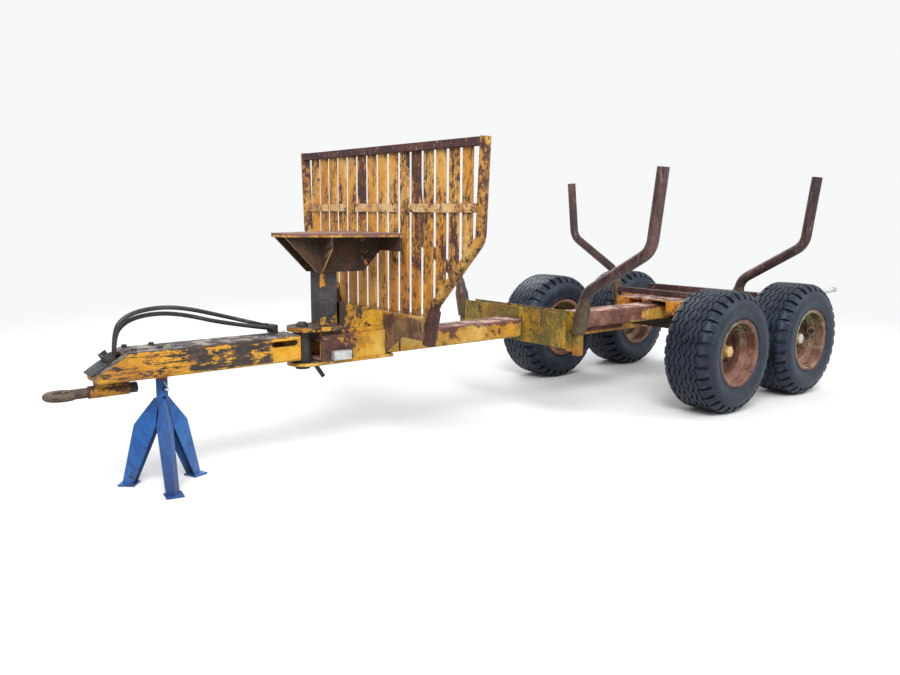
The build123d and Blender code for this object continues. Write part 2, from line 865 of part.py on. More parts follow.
# Bogie beams: one a side, from the pivot down to a stub axle at each end
wheel_height = tyre_radius
wheel_stations = [front_wheel_station, front_wheel_station + wheel_spacing]
beam_outer = bogie_beam_inner + bogie_beam_width
hub_inner_face = track_half - hub_inner
collar_outer = hub_inner_face - 2
stub_outer = track_half + hub_cap_reach - stub_end_gap - 8
with BuildPart() as bogie_beams:
    for side in (-1, 1):
        with BuildSketch(Plane.XZ.offset(-side * bogie_beam_inner)):
            with BuildLine():
                CenterArc((at(bogie_station), bogie_pivot_height), bogie_pivot_boss, 0, 360)
                for station in wheel_stations:
                    CenterArc((at(station), wheel_height), bogie_end_boss, 0, 360)
            make_hull()
        extrude(amount=-side * bogie_beam_width)
        with BuildSketch(Plane.XZ.offset(-side * bogie_beam_inner)):
            with Locations((at(bogie_station), bogie_pivot_height)):
                Circle(bogie_pivot_radius + bogie_pivot_clearance)
        extrude(amount=-side * bogie_beam_width, mode=Mode.SUBTRACT)
        for station in wheel_stations:
            with BuildSketch(Plane.XZ.offset(-side * beam_outer)):
                with Locations((at(station), wheel_height)):
                    Circle(stub_radius + stub_collar)
            extrude(amount=-side * (collar_outer - beam_outer))
            with BuildSketch(Plane.XZ.offset(-side * beam_outer)):
                with Locations((at(station), wheel_height)):
                    Circle(stub_radius)
            extrude(amount=-side * (stub_outer - beam_outer))
bogie_beams.part.label = "bogie_beams"
export_step(bogie_beams.part, "parts/bogie_beams.step")

# Wheels: half sections in (distance from the axle line, distance outwards from the track line)
seat = rim_seat_radius
well = rim_well_radius
half = rim_half_width
well_inner = well - rim_wall
seat_inner = seat - rim_wall
disc_inner = disc_offset - disc_thickness / 2
disc_outer = disc_offset + disc_thickness / 2
rim_section = [
    (seat, half - 5),
    (rim_flange_radius - 3, half - 5),
    (rim_flange_radius, half + 3),
    (seat + 2, half + 3),
    (seat_inner, half - 3),
    (seat_inner, 100),
    (well_inner, 66),
    (well_inner, disc_outer),
    (hub_radius, disc_outer),
    (hub_radius, disc_inner),
    (well_inner, disc_inner),
    (well_inner, -50),
    (seat_inner, -80),
    (seat_inner, 3 - half),
    (seat + 2, -half - 3),
    (rim_flange_radius, -half - 3),
    (rim_flange_radius - 3, 5 - half),
    (seat, 5 - half),
]
bore = stub_radius + stub_clearance
cap_inner = hub_cap_reach - 8
hub_section = [
    (bore, -hub_inner),
    (hub_radius, -hub_inner),
    (hub_radius, disc_outer + hub_step),
    (hub_flange_radius, disc_outer + hub_step),
    (hub_flange_radius, disc_outer + hub_step + hub_flange),
    (hub_cap_radius, disc_outer + hub_step + hub_flange),
    (hub_cap_radius, hub_cap_reach - 4),
    (hub_cap_radius - 4, hub_cap_reach),
    (0, hub_cap_reach),
    (0, cap_inner),
    (bore, cap_inner),
]
bead = seat + seat_gap
outer_face = half - 5 - seat_gap
tyre_section = [
    (bead, outer_face),
    (rim_flange_radius - 3, outer_face),
    (0.31 * rim_flange_radius + 0.69 * tyre_belly_radius, tyre_half_width),
    (tyre_radius - 0.5 * tyre_shoulder_drop, tyre_half_width - 0.3 * tyre_shoulder_inset),
    (tyre_radius - 0.1 * tyre_shoulder_drop, tyre_half_width - 0.95 * tyre_shoulder_inset),
    (tyre_radius, tyre_half_width - 1.3 * tyre_shoulder_inset),
]
tyre_cavity = [
    (tyre_radius - tyre_crown, tyre_half_width - tyre_shoulder_inset),
    (tyre_belly_radius, tyre_half_width - tyre_wall),
    (bead, outer_face - tyre_bead_width),
]
tyre_half = tyre_section + [(r, -y) for r, y in reversed(tyre_section)]
tyre_loop = tyre_half + [(r, -y) for r, y in reversed(tyre_cavity)] + tyre_cavity


def turned_about_axle(section, side):
    """Turns a section about its own axle line, with its outer face to one side."""
    with BuildPart() as piece:
        with BuildSketch(Plane.XY):
            with BuildLine():
                Polyline(*[(r, side * y) for r, y in section], close=True)
            make_face()
        revolve(axis=Axis.Y)
    return piece.part


wheel_names = [
    ("front_near", front_wheel_station, -1),
    ("front_far", front_wheel_station, 1),
    ("rear_near", front_wheel_station + wheel_spacing, -1),
    ("rear_far", front_wheel_station + wheel_spacing, 1),
]
for name, station, side in wheel_names:
    place = Location((at(station), side * track_half, wheel_height))
    with BuildPart() as tyre_part:
        add(turned_about_axle(tyre_loop, side).moved(place))
    tyre_part.part.label = "tyre_" + name
    export_step(tyre_part.part, "parts/tyre_" + name + ".step")
    with BuildPart() as rim_part:
        add(turned_about_axle(rim_section, side).moved(place))
        add(turned_about_axle(hub_section, side).moved(place))
    rim_part.part.label = "rim_" + name
    export_step(rim_part.part, "parts/rim_" + name + ".step")

# Rear cross bar, a square tube on a seat on the beam, with a clamp plate for the extension tube
cross_bar_bottom = beam_top + cross_bar_lift
slope = radians(extension_slope)
with BuildPart() as rear_cross_bar:
    with BuildSketch(Plane.XZ.offset(-cross_bar_half_length)):
        with Locations((at(cross_bar_station), cross_bar_bottom + cross_bar_height / 2)):
            Rectangle(cross_bar_depth, cross_bar_height)
            Rectangle(
                cross_bar_depth - 2 * cross_bar_wall,
                cross_bar_height - 2 * cross_bar_wall,
                mode=Mode.SUBTRACT,
            )
    extrude(amount=2 * cross_bar_half_length)
    with BuildSketch(Plane.XY.offset(beam_top)):
        with Locations((at(cross_bar_station) - 8, 0)):
            Rectangle(cross_bar_seat_length - 16, beam_width - 2 * beam_corner)
    extrude(amount=cross_bar_lift)
rear_cross_bar.part.label = "rear_cross_bar"
export_step(rear_cross_bar.part, "parts/rear_cross_bar.step")

extension_radius = extension_diameter / 2
extension_y = -(cross_bar_half_length + extension_plate + extension_radius)
slope_way = (cos(slope), 0, sin(slope))
tube_run = (total_length - extension_front - extension_radius * sin(slope)) / cos(slope)
tube_at_bar = extension_height + (cross_bar_station - extension_front) * tan(slope)
cross_bar_top = cross_bar_bottom + cross_bar_height
with BuildPart() as extension_tube:
    with BuildSketch(
        Plane(origin=(at(extension_front), extension_y, extension_height), z_dir=slope_way)
    ):
        Circle(extension_radius)
    extrude(amount=tube_run)
    with BuildSketch(Plane.XZ.offset(cross_bar_half_length)):
        with Locations((at(cross_bar_station), (tube_at_bar - extension_radius + cross_bar_top) / 2)):
            Rectangle(extension_plate_length, cross_bar_top - tube_at_bar + extension_radius)
    extrude(amount=extension_plate + extension_weld)
    with BuildSketch(
        Plane(origin=(at(extension_front), extension_y, extension_height), z_dir=slope_way)
    ):
        Circle(extension_radius - extension_wall)
    extrude(amount=tube_run, mode=Mode.SUBTRACT)
extension_tube.part.label = "extension_tube"
export_step(extension_tube.part, "parts/extension_tube.step")

# Drawbar: a tube with a sloping nose
lip_top = drawbar_bottom + nose_lip_height
nose_top = drawbar_front + nose_slope_length
with BuildPart() as drawbar_beam:
    with BuildSketch(across(drawbar_front)):
        with Locations((0, drawbar_mid)):
            RectangleRounded(drawbar_width, drawbar_height, drawbar_corner)
            RectangleRounded(
                drawbar_width - 2 * drawbar_wall,
                drawbar_height - 2 * drawbar_wall,
                drawbar_corner - drawbar_wall,
                mode=Mode.SUBTRACT,
            )
    extrude(amount=drawbar_rear - drawbar_front)
    with BuildSketch(Plane.XZ.offset(-drawbar_width / 2)):
        with BuildLine():
            Polyline(
                (at(drawbar_front) - 1, lip_top),
                (at(drawbar_front), lip_top),
                (at(nose_top), drawbar_top),
                (at(nose_top), drawbar_top + 1),
                (at(drawbar_front) - 1, drawbar_top + 1),
                close=True,
            )
        make_face()
    extrude(amount=drawbar_width, mode=Mode.SUBTRACT)
    with BuildSketch(Plane.XZ.offset(-drawbar_width / 2 + drawbar_wall)):
        with BuildLine():
            Polyline(
                (at(drawbar_front), drawbar_bottom + drawbar_wall / 2),
                (at(drawbar_front), lip_top),
                (at(nose_top), drawbar_top),
                (at(nose_top) + 2 * drawbar_wall, drawbar_top - drawbar_wall / 2),
                (at(drawbar_front) + drawbar_wall, lip_top - drawbar_wall),
                (at(drawbar_front) + drawbar_wall, drawbar_bottom + drawbar_wall / 2),
                close=True,
            )
        make_face()
    extrude(amount=drawbar_width - 2 * drawbar_wall)
    with BuildSketch(Plane.XZ.offset(-drawbar_width)):
        with Locations((at(slot_station), drawbar_bottom + slot_above_bottom)):
            SlotOverall(slot_length, slot_height)
    extrude(amount=2 * drawbar_width, mode=Mode.SUBTRACT)
    with BuildSketch(across(drawbar_rear - drawbar_wall)):
        with Locations((0, drawbar_mid)):
            Rectangle(drawbar_width - drawbar_wall, drawbar_height - drawbar_wall)
    extrude(amount=drawbar_wall)
    with BuildSketch(Plane.XY.offset(drawbar_bottom + 2 * drawbar_wall)):
        with Locations((at((nose_opening_front + nose_opening_rear) / 2), 0)):
            RectangleRounded(nose_opening_rear - nose_opening_front, 2 * nose_opening_half, 10)
    extrude(amount=drawbar_height, mode=Mode.SUBTRACT)
drawbar_beam.part.label = "drawbar_beam"
export_step(drawbar_beam.part, "parts/drawbar_beam.step")

# Plate on the slope of the nose, with a lip that stands up in front of the hose opening
slope_run = Vector(nose_slope_length, drawbar_height - nose_lip_height)
slope_plane = Plane(
    origin=(at(drawbar_front), 0, lip_top),
    x_dir=(slope_run.X, 0, slope_run.Y),
    z_dir=(-slope_run.Y, 0, slope_run.X),
)
with BuildPart() as nose_plate:
    with BuildSketch(slope_plane):
        with Locations((nose_plate_length / 2 - nose_plate_overhang, 0)):
            Rectangle(nose_plate_length, nose_plate_width)
    extrude(amount=nose_plate_thickness)
    lip_place = (nose_opening_front - drawbar_front) / slope_run.normalized().X - nose_lip_thickness
    with BuildSketch(slope_plane):
        with Locations((lip_place, 0)):
            Rectangle(nose_lip_thickness, nose_lip_width)
        for side in (-1, 1):
            cheek_place = lip_place + (nose_cheek_length - nose_lip_thickness) / 2
            with Locations((cheek_place, side * (nose_lip_width - nose_lip_thickness) / 2)):
                Rectangle(nose_cheek_length, nose_lip_thickness)
    extrude(amount=nose_lip_rise)
nose_plate.part.label = "nose_plate"
export_step(nose_plate.part, "parts/nose_plate.step")

# Pivot barrel with its bottom ring and the web that joins it to the drawbar
barrel_bottom = beam_bottom + plate_gap
barrel_top = top_plate_bottom - plate_gap
with BuildPart() as pivot_barrel:
    with BuildSketch(Plane.XY.offset(barrel_bottom)):
        with Locations((at(pivot_station), 0)):
            Circle(barrel_radius)
    extrude(amount=barrel_top - barrel_bottom)
    with BuildSketch(Plane.XY.offset(barrel_bottom)):
        with Locations((at(pivot_station), 0)):
            Circle(barrel_flange_radius)
    extrude(amount=barrel_flange_height)
    with BuildSketch(Plane.XY.offset(drawbar_bottom + barrel_web_inset)):
        with Locations(((at(drawbar_rear) + at(pivot_station)) / 2, 0)):
            Rectangle(pivot_station - drawbar_rear, 1.6 * barrel_radius)
    extrude(amount=drawbar_height - 2 * barrel_web_inset)
    with BuildSketch(Plane.XY.offset(barrel_bottom)):
        with Locations((at(pivot_station), 0)):
            Circle(pin_radius + pin_clearance)
    extrude(amount=barrel_top - barrel_bottom, mode=Mode.SUBTRACT)
pivot_barrel.part.label = "pivot_barrel"
export_step(pivot_barrel.part, "parts/pivot_barrel.step")

# Housing of the towing eye, hung under the drawbar on a web
with BuildPart() as eye_housing:
    with BuildSketch(across(housing_front)):
        with Locations((0, eye_height)):
            Circle(housing_radius)
    extrude(amount=housing_rear - housing_front)
    web_front = max(drawbar_front, housing_front) + 4
    with BuildSketch(Plane.XY.offset(eye_height)):
        with Locations(((at(web_front) + at(housing_rear)) / 2, 0)):
            Rectangle(housing_rear - web_front, 1.5 * housing_radius)
    extrude(amount=drawbar_bottom - eye_height)
    with BuildSketch(across(housing_front)):
        with Locations((0, eye_height)):
            Circle(shank_radius + pin_clearance)
    extrude(amount=housing_rear - housing_front, mode=Mode.SUBTRACT)
eye_housing.part.label = "eye_housing"
export_step(eye_housing.part, "parts/eye_housing.step")

# Towing eye: a flat ring on a shank that turns in the housing
shank_end = housing_rear + housing_gap + eye_nut_length
with BuildPart() as towing_eye:
    with BuildSketch(Plane.XY.offset(eye_height - eye_thickness / 2)):
        with Locations((at(eye_radius), 0)):
            Circle(eye_radius)
    extrude(amount=eye_thickness)
    chamfer(towing_eye.edges().filter_by(GeomType.CIRCLE), eye_round)
    with BuildSketch(across(eye_radius + eye_hole_radius + 10)):
        with Locations((0, eye_height)):
            Circle(neck_radius)
    extrude(amount=housing_front - housing_gap - eye_radius - eye_hole_radius - 10)
    with BuildSketch(across(housing_front - housing_gap - 1)):
        with Locations((0, eye_height)):
            Circle(shank_radius)
    extrude(amount=shank_end - housing_front + housing_gap + 1)
    with BuildSketch(Plane.XY.offset(eye_height - 2 * eye_thickness)):
        with Locations((at(eye_radius), 0)):
            Circle(eye_hole_radius)
    extrude(amount=4 * eye_thickness, mode=Mode.SUBTRACT)
towing_eye.part.label = "towing_eye"
export_step(towing_eye.part, "parts/towing_eye.step")

with BuildPart() as eye_nut:
    with BuildSketch(across(housing_rear + housing_gap)):
        with Locations((0, eye_height)):
            RegularPolygon(eye_nut_radius, 6)
            Circle(shank_radius, mode=Mode.SUBTRACT)
    extrude(amount=eye_nut_length)
eye_nut.part.label = "eye_nut"
export_step(eye_nut.part, "parts/eye_nut.step")

# Axle stand: saddle, tube and three folded legs on square feet
saddle_base = drawbar_bottom - stand_saddle_height
with BuildPart() as stand_saddle:
    with BuildSketch(Plane.XY.offset(saddle_base)):
        with Locations((at(stand_station), 0)):
            Circle(stand_saddle_radius - 5)
    with BuildSketch(Plane.XY.offset(drawbar_bottom)):
        with Locations((at(stand_station), 0)):
            Circle(stand_saddle_radius)
    loft()
stand_saddle.part.label = "stand_saddle"
export_step(stand_saddle.part, "parts/stand_saddle.step")

with BuildPart() as stand_post:
    with BuildSketch(Plane.XY.offset(stand_post_bottom)):
        with Locations((at(stand_station), 0)):
            Circle(stand_post_radius)
            Circle(stand_post_radius - stand_post_wall, mode=Mode.SUBTRACT)
    extrude(amount=saddle_base - stand_post_bottom)
    with BuildSketch(Plane.XZ.offset(-stand_pin_length / 2)):
        with Locations((at(stand_station), stand_pin_height)):
            Circle(stand_pin_radius)
    extrude(amount=stand_pin_length)
stand_post.part.label = "stand_post"
export_step(stand_post.part, "parts/stand_post.step")

leg_sections = [
    (stand_foot_height, stand_leg_reach, stand_leg_reach - stand_leg_toe, stand_leg_toe / 2),
    (stand_leg_knee, stand_leg_knee_reach, stand_post_radius - 2, stand_knee_half_width),
    (stand_leg_top, stand_post_radius + stand_top_reach, 18, 12),
]


def folded_section(reach, inner, half_width):
    """Gives the outline of a folded sheet: a V whose ridge points away from the post."""
    turn = atan2(half_width, reach - inner)
    ridge = reach - stand_leg_sheet / sin(turn)
    arm = half_width - stand_leg_sheet / cos(turn)
    return [
        (reach, 0), (inner, half_width), (inner, arm), (ridge, 0), (inner, -arm), (inner, -half_width)
    ]


with BuildPart() as stand_legs:
    for number in range(stand_leg_count):
        turn = radians(stand_leg_turn + number * 360 / stand_leg_count)
        leg_frame = Plane(
            origin=(at(stand_station), 0, 0), x_dir=(cos(turn), sin(turn), 0), z_dir=(0, 0, 1)
        )
        for lower, upper in zip(leg_sections, leg_sections[1:]):
            for height, reach, inner, half_width in (lower, upper):
                with BuildSketch(leg_frame.offset(height)):
                    with BuildLine():
                        Polyline(*folded_section(reach, inner, half_width), close=True)
                    make_face()
            loft(ruled=True)
        with BuildSketch(leg_frame):
            with Locations((stand_leg_reach - stand_leg_toe / 2, 0)):
                Rectangle(stand_foot_size, stand_foot_size)
        extrude(amount=stand_foot_height)
    with BuildSketch(Plane.XY):
        with Locations((at(stand_station), 0)):
            Circle(stand_post_radius)
    extrude(amount=stand_leg_top + 1, mode=Mode.SUBTRACT)
stand_legs.part.label = "stand_legs"
export_step(stand_legs.part, "parts/stand_legs.step")

# Hoses: from sockets on the nose of the drawbar to fittings on its far top edge
hose_routes = [
    (
        "hose_upper",
        [
            (316, -18, 640),
            (316, -18, 796),
            (374, -13, 868),
            (500, 0, 897),
            (660, 24, 889),
            (900, 70, 822),
            (1150, 92, 748),
        ],
    ),
    (
        "hose_lower",
        [
            (326, 18, 640),
            (326, 18, 766),
            (384, 22, 838),
            (506, 32, 866),
            (668, 52, 853),
            (904, 58, 782),
            (1150, 52, 738),
        ],
    ),
]
for name, route in hose_routes:
    corners = [Vector(at(station), y, z) for station, y, z in route]
    radii = []
    for before, corner, after in zip(corners, corners[1:], corners[2:]):
        turn = (corner - before).get_angle(after - corner)
        run = min((corner - before).length, (after - corner).length)
        radii.append(round(0.45 * run / tan(radians(turn / 2)), 1))
    print(name, "radii", radii)
    with BuildPart() as hose:
        with BuildLine() as line:
            FilletPolyline(*corners, radius=radii)
        path = line.line
        with BuildSketch(Plane(origin=path @ 0, z_dir=path % 0)):
            Circle(hose_diameter / 2)
        sweep(path=path)
    length = sum(edge.length for edge in path.edges())
    area = pi * (hose_diameter / 2) ** 2
    print(name, "length", round(length, 1), "fill", round(hose.part.volume / (area * length), 4))
    hose.part.label = name
    export_step(hose.part, "parts/" + name + ".step")

# Sockets that stand on the floor of the drawbar, and the rear fittings on their block
socket_floor = drawbar_bottom + drawbar_wall
with BuildPart() as hose_fittings:
    for name, route in hose_routes:
        start = Vector(at(route[0][0]), route[0][1], route[0][2])
        end = Vector(at(route[-1][0]), route[-1][1], route[-1][2])
        ahead = Vector(at(route[-2][0]), route[-2][1], route[-2][2])
        with BuildSketch(Plane.XY.offset(socket_floor)):
            with Locations((start.X, start.Y)):
                Circle(hose_socket_radius)
        extrude(amount=start.Z - socket_floor)
        with BuildSketch(Plane(origin=end, z_dir=end - ahead)):
            Circle(ferrule_radius)
        extrude(amount=ferrule_length)
    with BuildSketch(Plane.XY.offset(drawbar_top)):
        with Locations((at(hose_block_station), hose_block_middle)):
            Rectangle(hose_block_length, hose_block_width)
    extrude(amount=hose_block_height)
hose_fittings.part.label = "hose_fittings"
export_step(hose_fittings.part, "parts/hose_fittings.step")
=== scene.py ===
"""Looks of a two-axle forestry trailer: chipped yellow paint over rust, bar-grip tyres and rubber hoses."""

import logging
import math
from dataclasses import dataclass, field
from enum import Enum, IntEnum
from typing import Sequence

import bmesh
import bpy
from mathutils import Matrix, Vector


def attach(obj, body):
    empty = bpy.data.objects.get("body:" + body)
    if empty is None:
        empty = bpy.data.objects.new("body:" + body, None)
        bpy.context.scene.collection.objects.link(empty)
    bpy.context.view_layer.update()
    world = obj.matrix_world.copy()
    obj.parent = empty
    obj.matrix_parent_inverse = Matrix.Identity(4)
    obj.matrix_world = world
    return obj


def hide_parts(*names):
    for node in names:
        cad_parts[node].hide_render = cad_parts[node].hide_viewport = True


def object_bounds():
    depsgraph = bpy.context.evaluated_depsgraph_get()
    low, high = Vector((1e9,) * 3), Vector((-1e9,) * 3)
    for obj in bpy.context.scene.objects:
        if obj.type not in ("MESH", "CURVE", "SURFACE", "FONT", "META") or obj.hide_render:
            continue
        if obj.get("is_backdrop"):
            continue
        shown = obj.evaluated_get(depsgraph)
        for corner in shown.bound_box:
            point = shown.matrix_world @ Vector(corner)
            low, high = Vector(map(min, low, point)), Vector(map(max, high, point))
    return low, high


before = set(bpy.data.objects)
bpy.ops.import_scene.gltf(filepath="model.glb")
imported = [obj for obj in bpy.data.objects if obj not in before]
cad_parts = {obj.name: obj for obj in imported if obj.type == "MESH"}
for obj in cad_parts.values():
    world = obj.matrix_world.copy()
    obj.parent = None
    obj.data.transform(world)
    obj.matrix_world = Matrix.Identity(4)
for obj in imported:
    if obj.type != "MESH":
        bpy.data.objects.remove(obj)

log = logging.getLogger("trailer")

Pair = tuple[float, float]
Colour = tuple[float, float, float]
Point = tuple[float, float, float]
Socket = bpy.types.NodeSocket
Material = bpy.types.Material
Piece = bpy.types.Object
Mesh = bmesh.types.BMesh

LENGTH = 6.330
ORIGIN: Point = (0.0, 0.0, 0.0)
EVEN: Point = (1.0, 1.0, 1.0)
BACKDROP: Colour = (0.93, 0.935, 0.94)
AO_SAMPLES = 5
BEVEL_SAMPLES = 6


def at(station: float) -> float:
    """Returns the X of a station, in metres back from the tip of the towing eye."""
    return station - LENGTH / 2


class Body(Enum):
    """The rigid bodies that pieces ride on."""

    CHASSIS = "chassis"
    DRAWBAR = "drawbar"


class Slot(Enum):
    """The record's material slots, named with each added piece."""

    RUST = "rusty_steel"
    DARK = "dark_steel"
    ZINC = "galvanised"
    RIM = "rim_paint"
    TYRE = "tyre_rubber"
    HOSE = "hose_rubber"


class Side(IntEnum):
    """The trailer's two long sides, each with the sign of its Y."""

    NEAR = -1
    FAR = 1


class Graph:
    """A small writer for one material's or world's nodes."""

    def __init__(self, tree: bpy.types.NodeTree) -> None:
        """Empties a node tree and starts in it.

        Args:
            tree: the nodes of a material or world.
        """
        self.tree = tree
        self.tree.nodes.clear()
        self.coords = self.node("TexCoord").outputs["Object"]

    def put(self, socket: Socket, value: object) -> None:
        """Links a socket to another, or sets its constant.

        Args:
            socket: the input.
            value: a socket, a number or a colour.
        """
        if isinstance(value, Socket):
            self.tree.links.new(value, socket)
        elif isinstance(value, tuple) and len(value) == 3 and socket.type == "RGBA":
            socket.default_value = (*value, 1.0)
        else:
            socket.default_value = value

    def node(self, kind: str, **inputs: object) -> bpy.types.Node:
        """Adds a shader node.

        Args:
            kind: the node's type, without its common prefix.
            inputs: values or sockets by the input's name, with _ for a space.

        Returns:
            The new node.
        """
        node = self.tree.nodes.new("ShaderNode" + kind)
        for name, value in inputs.items():
            self.put(node.inputs[name.replace("_", " ")], value)
        return node

    def noise(
        self, scale: float, detail: float = 6.0, roughness: float = 0.6, distortion: float = 0.0,
        stretch: Point = EVEN, offset: Point = ORIGIN,
    ) -> Socket:
        """Returns a noise value between 0 and 1.

        Args:
            scale: waves per metre.
            detail: octaves.
            roughness: weight of the fine octaves.
            distortion: how far the noise folds.
            stretch: scale of each axis before the noise.
            offset: shift, so that two noises differ.

        Returns:
            The noise's factor socket.
        """
        place = self.node("Mapping", Vector=self.coords, Scale=stretch, Location=offset).outputs[0]
        settings = {"Scale": scale, "Detail": detail, "Roughness": roughness, "Distortion": distortion}
        return self.node("TexNoise", Vector=place, **settings).outputs["Fac"]

    def math(self, kind: str, a: object, b: object = 0.0) -> Socket:
        """Adds one arithmetic step.

        Args:
            kind: the operation.
            a: its first value.
            b: its second value.

        Returns:
            The result's socket.
        """
        node = self.node("Math")
        node.operation = kind
        self.put(node.inputs[0], a)
        self.put(node.inputs[1], b)
        return node.outputs[0]

    def inverse(self, share: Socket) -> Socket:
        """Returns what a share leaves of 1."""
        return self.math("SUBTRACT", 1.0, share)

    def total(self, *parts: tuple[object, float]) -> Socket:
        """Adds up several values.

        Args:
            parts: pairs of value and weight.

        Returns:
            The sum's socket.
        """
        result: object = 0.0
        for value, weight in parts:
            result = self.math("ADD", result, self.math("MULTIPLY", value, weight))
        return result

    def ramp(self, value: object, *stops: tuple[float, object]) -> Socket:
        """Returns a colour from a value along stops.

        Args:
            value: the factor.
            stops: pairs of place and colour or grey level, in rising order.

        Returns:
            The ramp's colour socket.
        """
        node = self.node("ValToRGB")
        elements = node.color_ramp.elements
        while len(elements) < len(stops):
            elements.new(0.5)
        for element, (place, colour) in zip(elements, stops):
            element.position = min(max(place, 0.0), 1.0)
            grey = (colour, colour, colour) if isinstance(colour, (int, float)) else colour
            element.color = (*grey, 1.0)
        self.put(node.inputs[0], value)
        return node.outputs[0]

    def step(self, value: object, low: float, high: float) -> Socket:
        """Adds a smooth rise.

        Args:
            value: what is compared.
            low: where the rise starts.
            high: where it ends.

        Returns:
            0 below low, 1 above high.
        """
        node = self.node("MapRange", Value=value, From_Min=low, From_Max=high)
        node.interpolation_type = "SMOOTHSTEP"
        return node.outputs[0]

    def mix(self, share: object, a: object, b: object) -> Socket:
        """Turns one colour into another.

        Args:
            share: how much of b shows.
            a: the first colour.
            b: the second colour.

        Returns:
            The mixed colour.
        """
        node = self.node("Mix")
        node.data_type = "RGBA"
        for index, value in ((0, share), (6, a), (7, b)):
            self.put(node.inputs[index], value)
        return node.outputs[2]

    def tint(self, colour: object, share: Socket, weight: float, other: object) -> Socket:
        """Returns a colour turning into another by a share times a weight."""
        return self.mix(self.math("MULTIPLY", share, weight), colour, other)

    def shade_and_soil(self, colour: Socket, reach: float, light: Pair, weight: float, dirt_and_shade: Colour) -> Socket:
        """Returns a colour darkened in its corners and under its ledges: painted shade, with some grime.

        Args:
            colour: the clean colour.
            reach: how far the corners' shade goes.
            light: openness where the painted shade and grime are full and where they end.
            weight: their share in the deepest corners.
            dirt_and_shade: the colour of the painted shade and grime.

        Returns:
            The colour with painted shade and grime added.
        """
        # Painted shade: ambient occlusion darkens corners, ledges and the gaps between parts.
        node = self.node("AmbientOcclusion", Distance=reach)
        node.samples = AO_SAMPLES
        return self.tint(colour, self.inverse(self.step(node.outputs["AO"], *light)), weight, dirt_and_shade)

    def axis(self, name: str) -> Socket:
        """Returns one of the piece's own coordinates in metres."""
        return self.node("SeparateXYZ", Vector=self.coords).outputs[name]

    def upward(self) -> Socket:
        """Returns how far the surface faces up, from -1 to 1."""
        return self.node("SeparateXYZ", Vector=self.node("NewGeometry").outputs["Normal"]).outputs["Z"]

    def blots(self, scale: float, cover: float, stretch: Point = EVEN, offset: Point = ORIGIN) -> Socket:
        """Returns 1 inside ragged spots and 0 between them.

        Args:
            scale: spots per metre, roughly.
            cover: share of the surface under spots.
            stretch: scale of each axis before the noise.
            offset: shift, so that two sets differ.

        Returns:
            The spots' mask.
        """
        edge = 0.665 - 0.33 * cover
        return self.step(self.noise(scale, 4.0, 0.62, 0.35, stretch, offset), edge, edge + 0.035)


class Surface(Graph):
    """The nodes of one material with a principled shader."""

    def __init__(self, name: str, edge_radius: float = 0.004) -> None:
        """Starts a material whose sharp edges look rounded off.

        Args:
            name: the material's name.
            edge_radius: radius of the rounding.
        """
        self.material = bpy.data.materials.new(name)
        self.material.use_nodes = True
        super().__init__(self.material.node_tree)
        self.shader = self.node("BsdfPrincipled")
        self.output = self.node("OutputMaterial", Surface=self.shader.outputs[0])
        bevel = self.node("Bevel", Radius=edge_radius)
        bevel.samples = BEVEL_SAMPLES
        self.rounded = bevel.outputs[0]

    def edges(self) -> Socket:
        """Finds sharp edges.

        Returns:
            0 on flat surfaces, rising to 1 close to sharp edges.
        """
        node = self.node("VectorMath")
        node.operation = "DOT_PRODUCT"
        self.put(node.inputs[0], self.rounded)
        self.put(node.inputs[1], self.node("NewGeometry").outputs["True Normal"])
        return self.step(self.inverse(node.outputs["Value"]), 0.02, 0.22)

    def finish(self, colour: Socket, roughness: Sequence[tuple[object, float]], **inputs: object) -> None:
        """Sets the shader's colour, roughness and further inputs.

        Args:
            colour: the base colour.
            roughness: weighted parts, as total takes them.
            inputs: the shader's other inputs by name, with _ for a space.
        """
        values = {"Base_Color": colour, "Roughness": self.total(*roughness), **inputs}
        for name, value in values.items():
            self.put(self.shader.inputs[name.replace("_", " ")], value)

    def bump(self, distance: float, strength: float, *parts: tuple[object, float], flat: bool = False) -> Material:
        """Sets the shader's normal from a height and ends the material.

        Args:
            distance: the height's scale in metres.
            strength: how much of it shows.
            parts: weighted parts of the height.
            flat: whether the edges stay as they are.

        Returns:
            The finished material.
        """
        node = self.node("Bump", Strength=strength, Distance=distance, Height=self.total(*parts))
        if not flat:
            self.put(node.inputs["Normal"], self.rounded)
        self.put(self.shader.inputs["Normal"], node.outputs[0])
        return self.material


@dataclass(frozen=True)
class Zone:
    """More or less wear along one axis, which can fade in along another."""

    axis: str
    stops: tuple[Pair, ...]
    mask_axis: str = ""
    mask: Pair = (0.0, 1.0)

    def value(self, g: Graph) -> Socket:
        """Writes the zone's nodes.

        Args:
            g: the material's nodes.

        Returns:
            What the zone adds to the wear.
        """
        low, high = self.stops[0][0], self.stops[-1][0]
        place = g.math("DIVIDE", g.math("SUBTRACT", g.axis(self.axis), low), high - low)
        shade = g.ramp(place, *(((x - low) / (high - low), 0.5 + v) for x, v in self.stops))
        added = g.math("SUBTRACT", shade, 0.5)
        if self.mask_axis:
            added = g.math("MULTIPLY", added, g.step(g.axis(self.mask_axis), *self.mask))
        return added


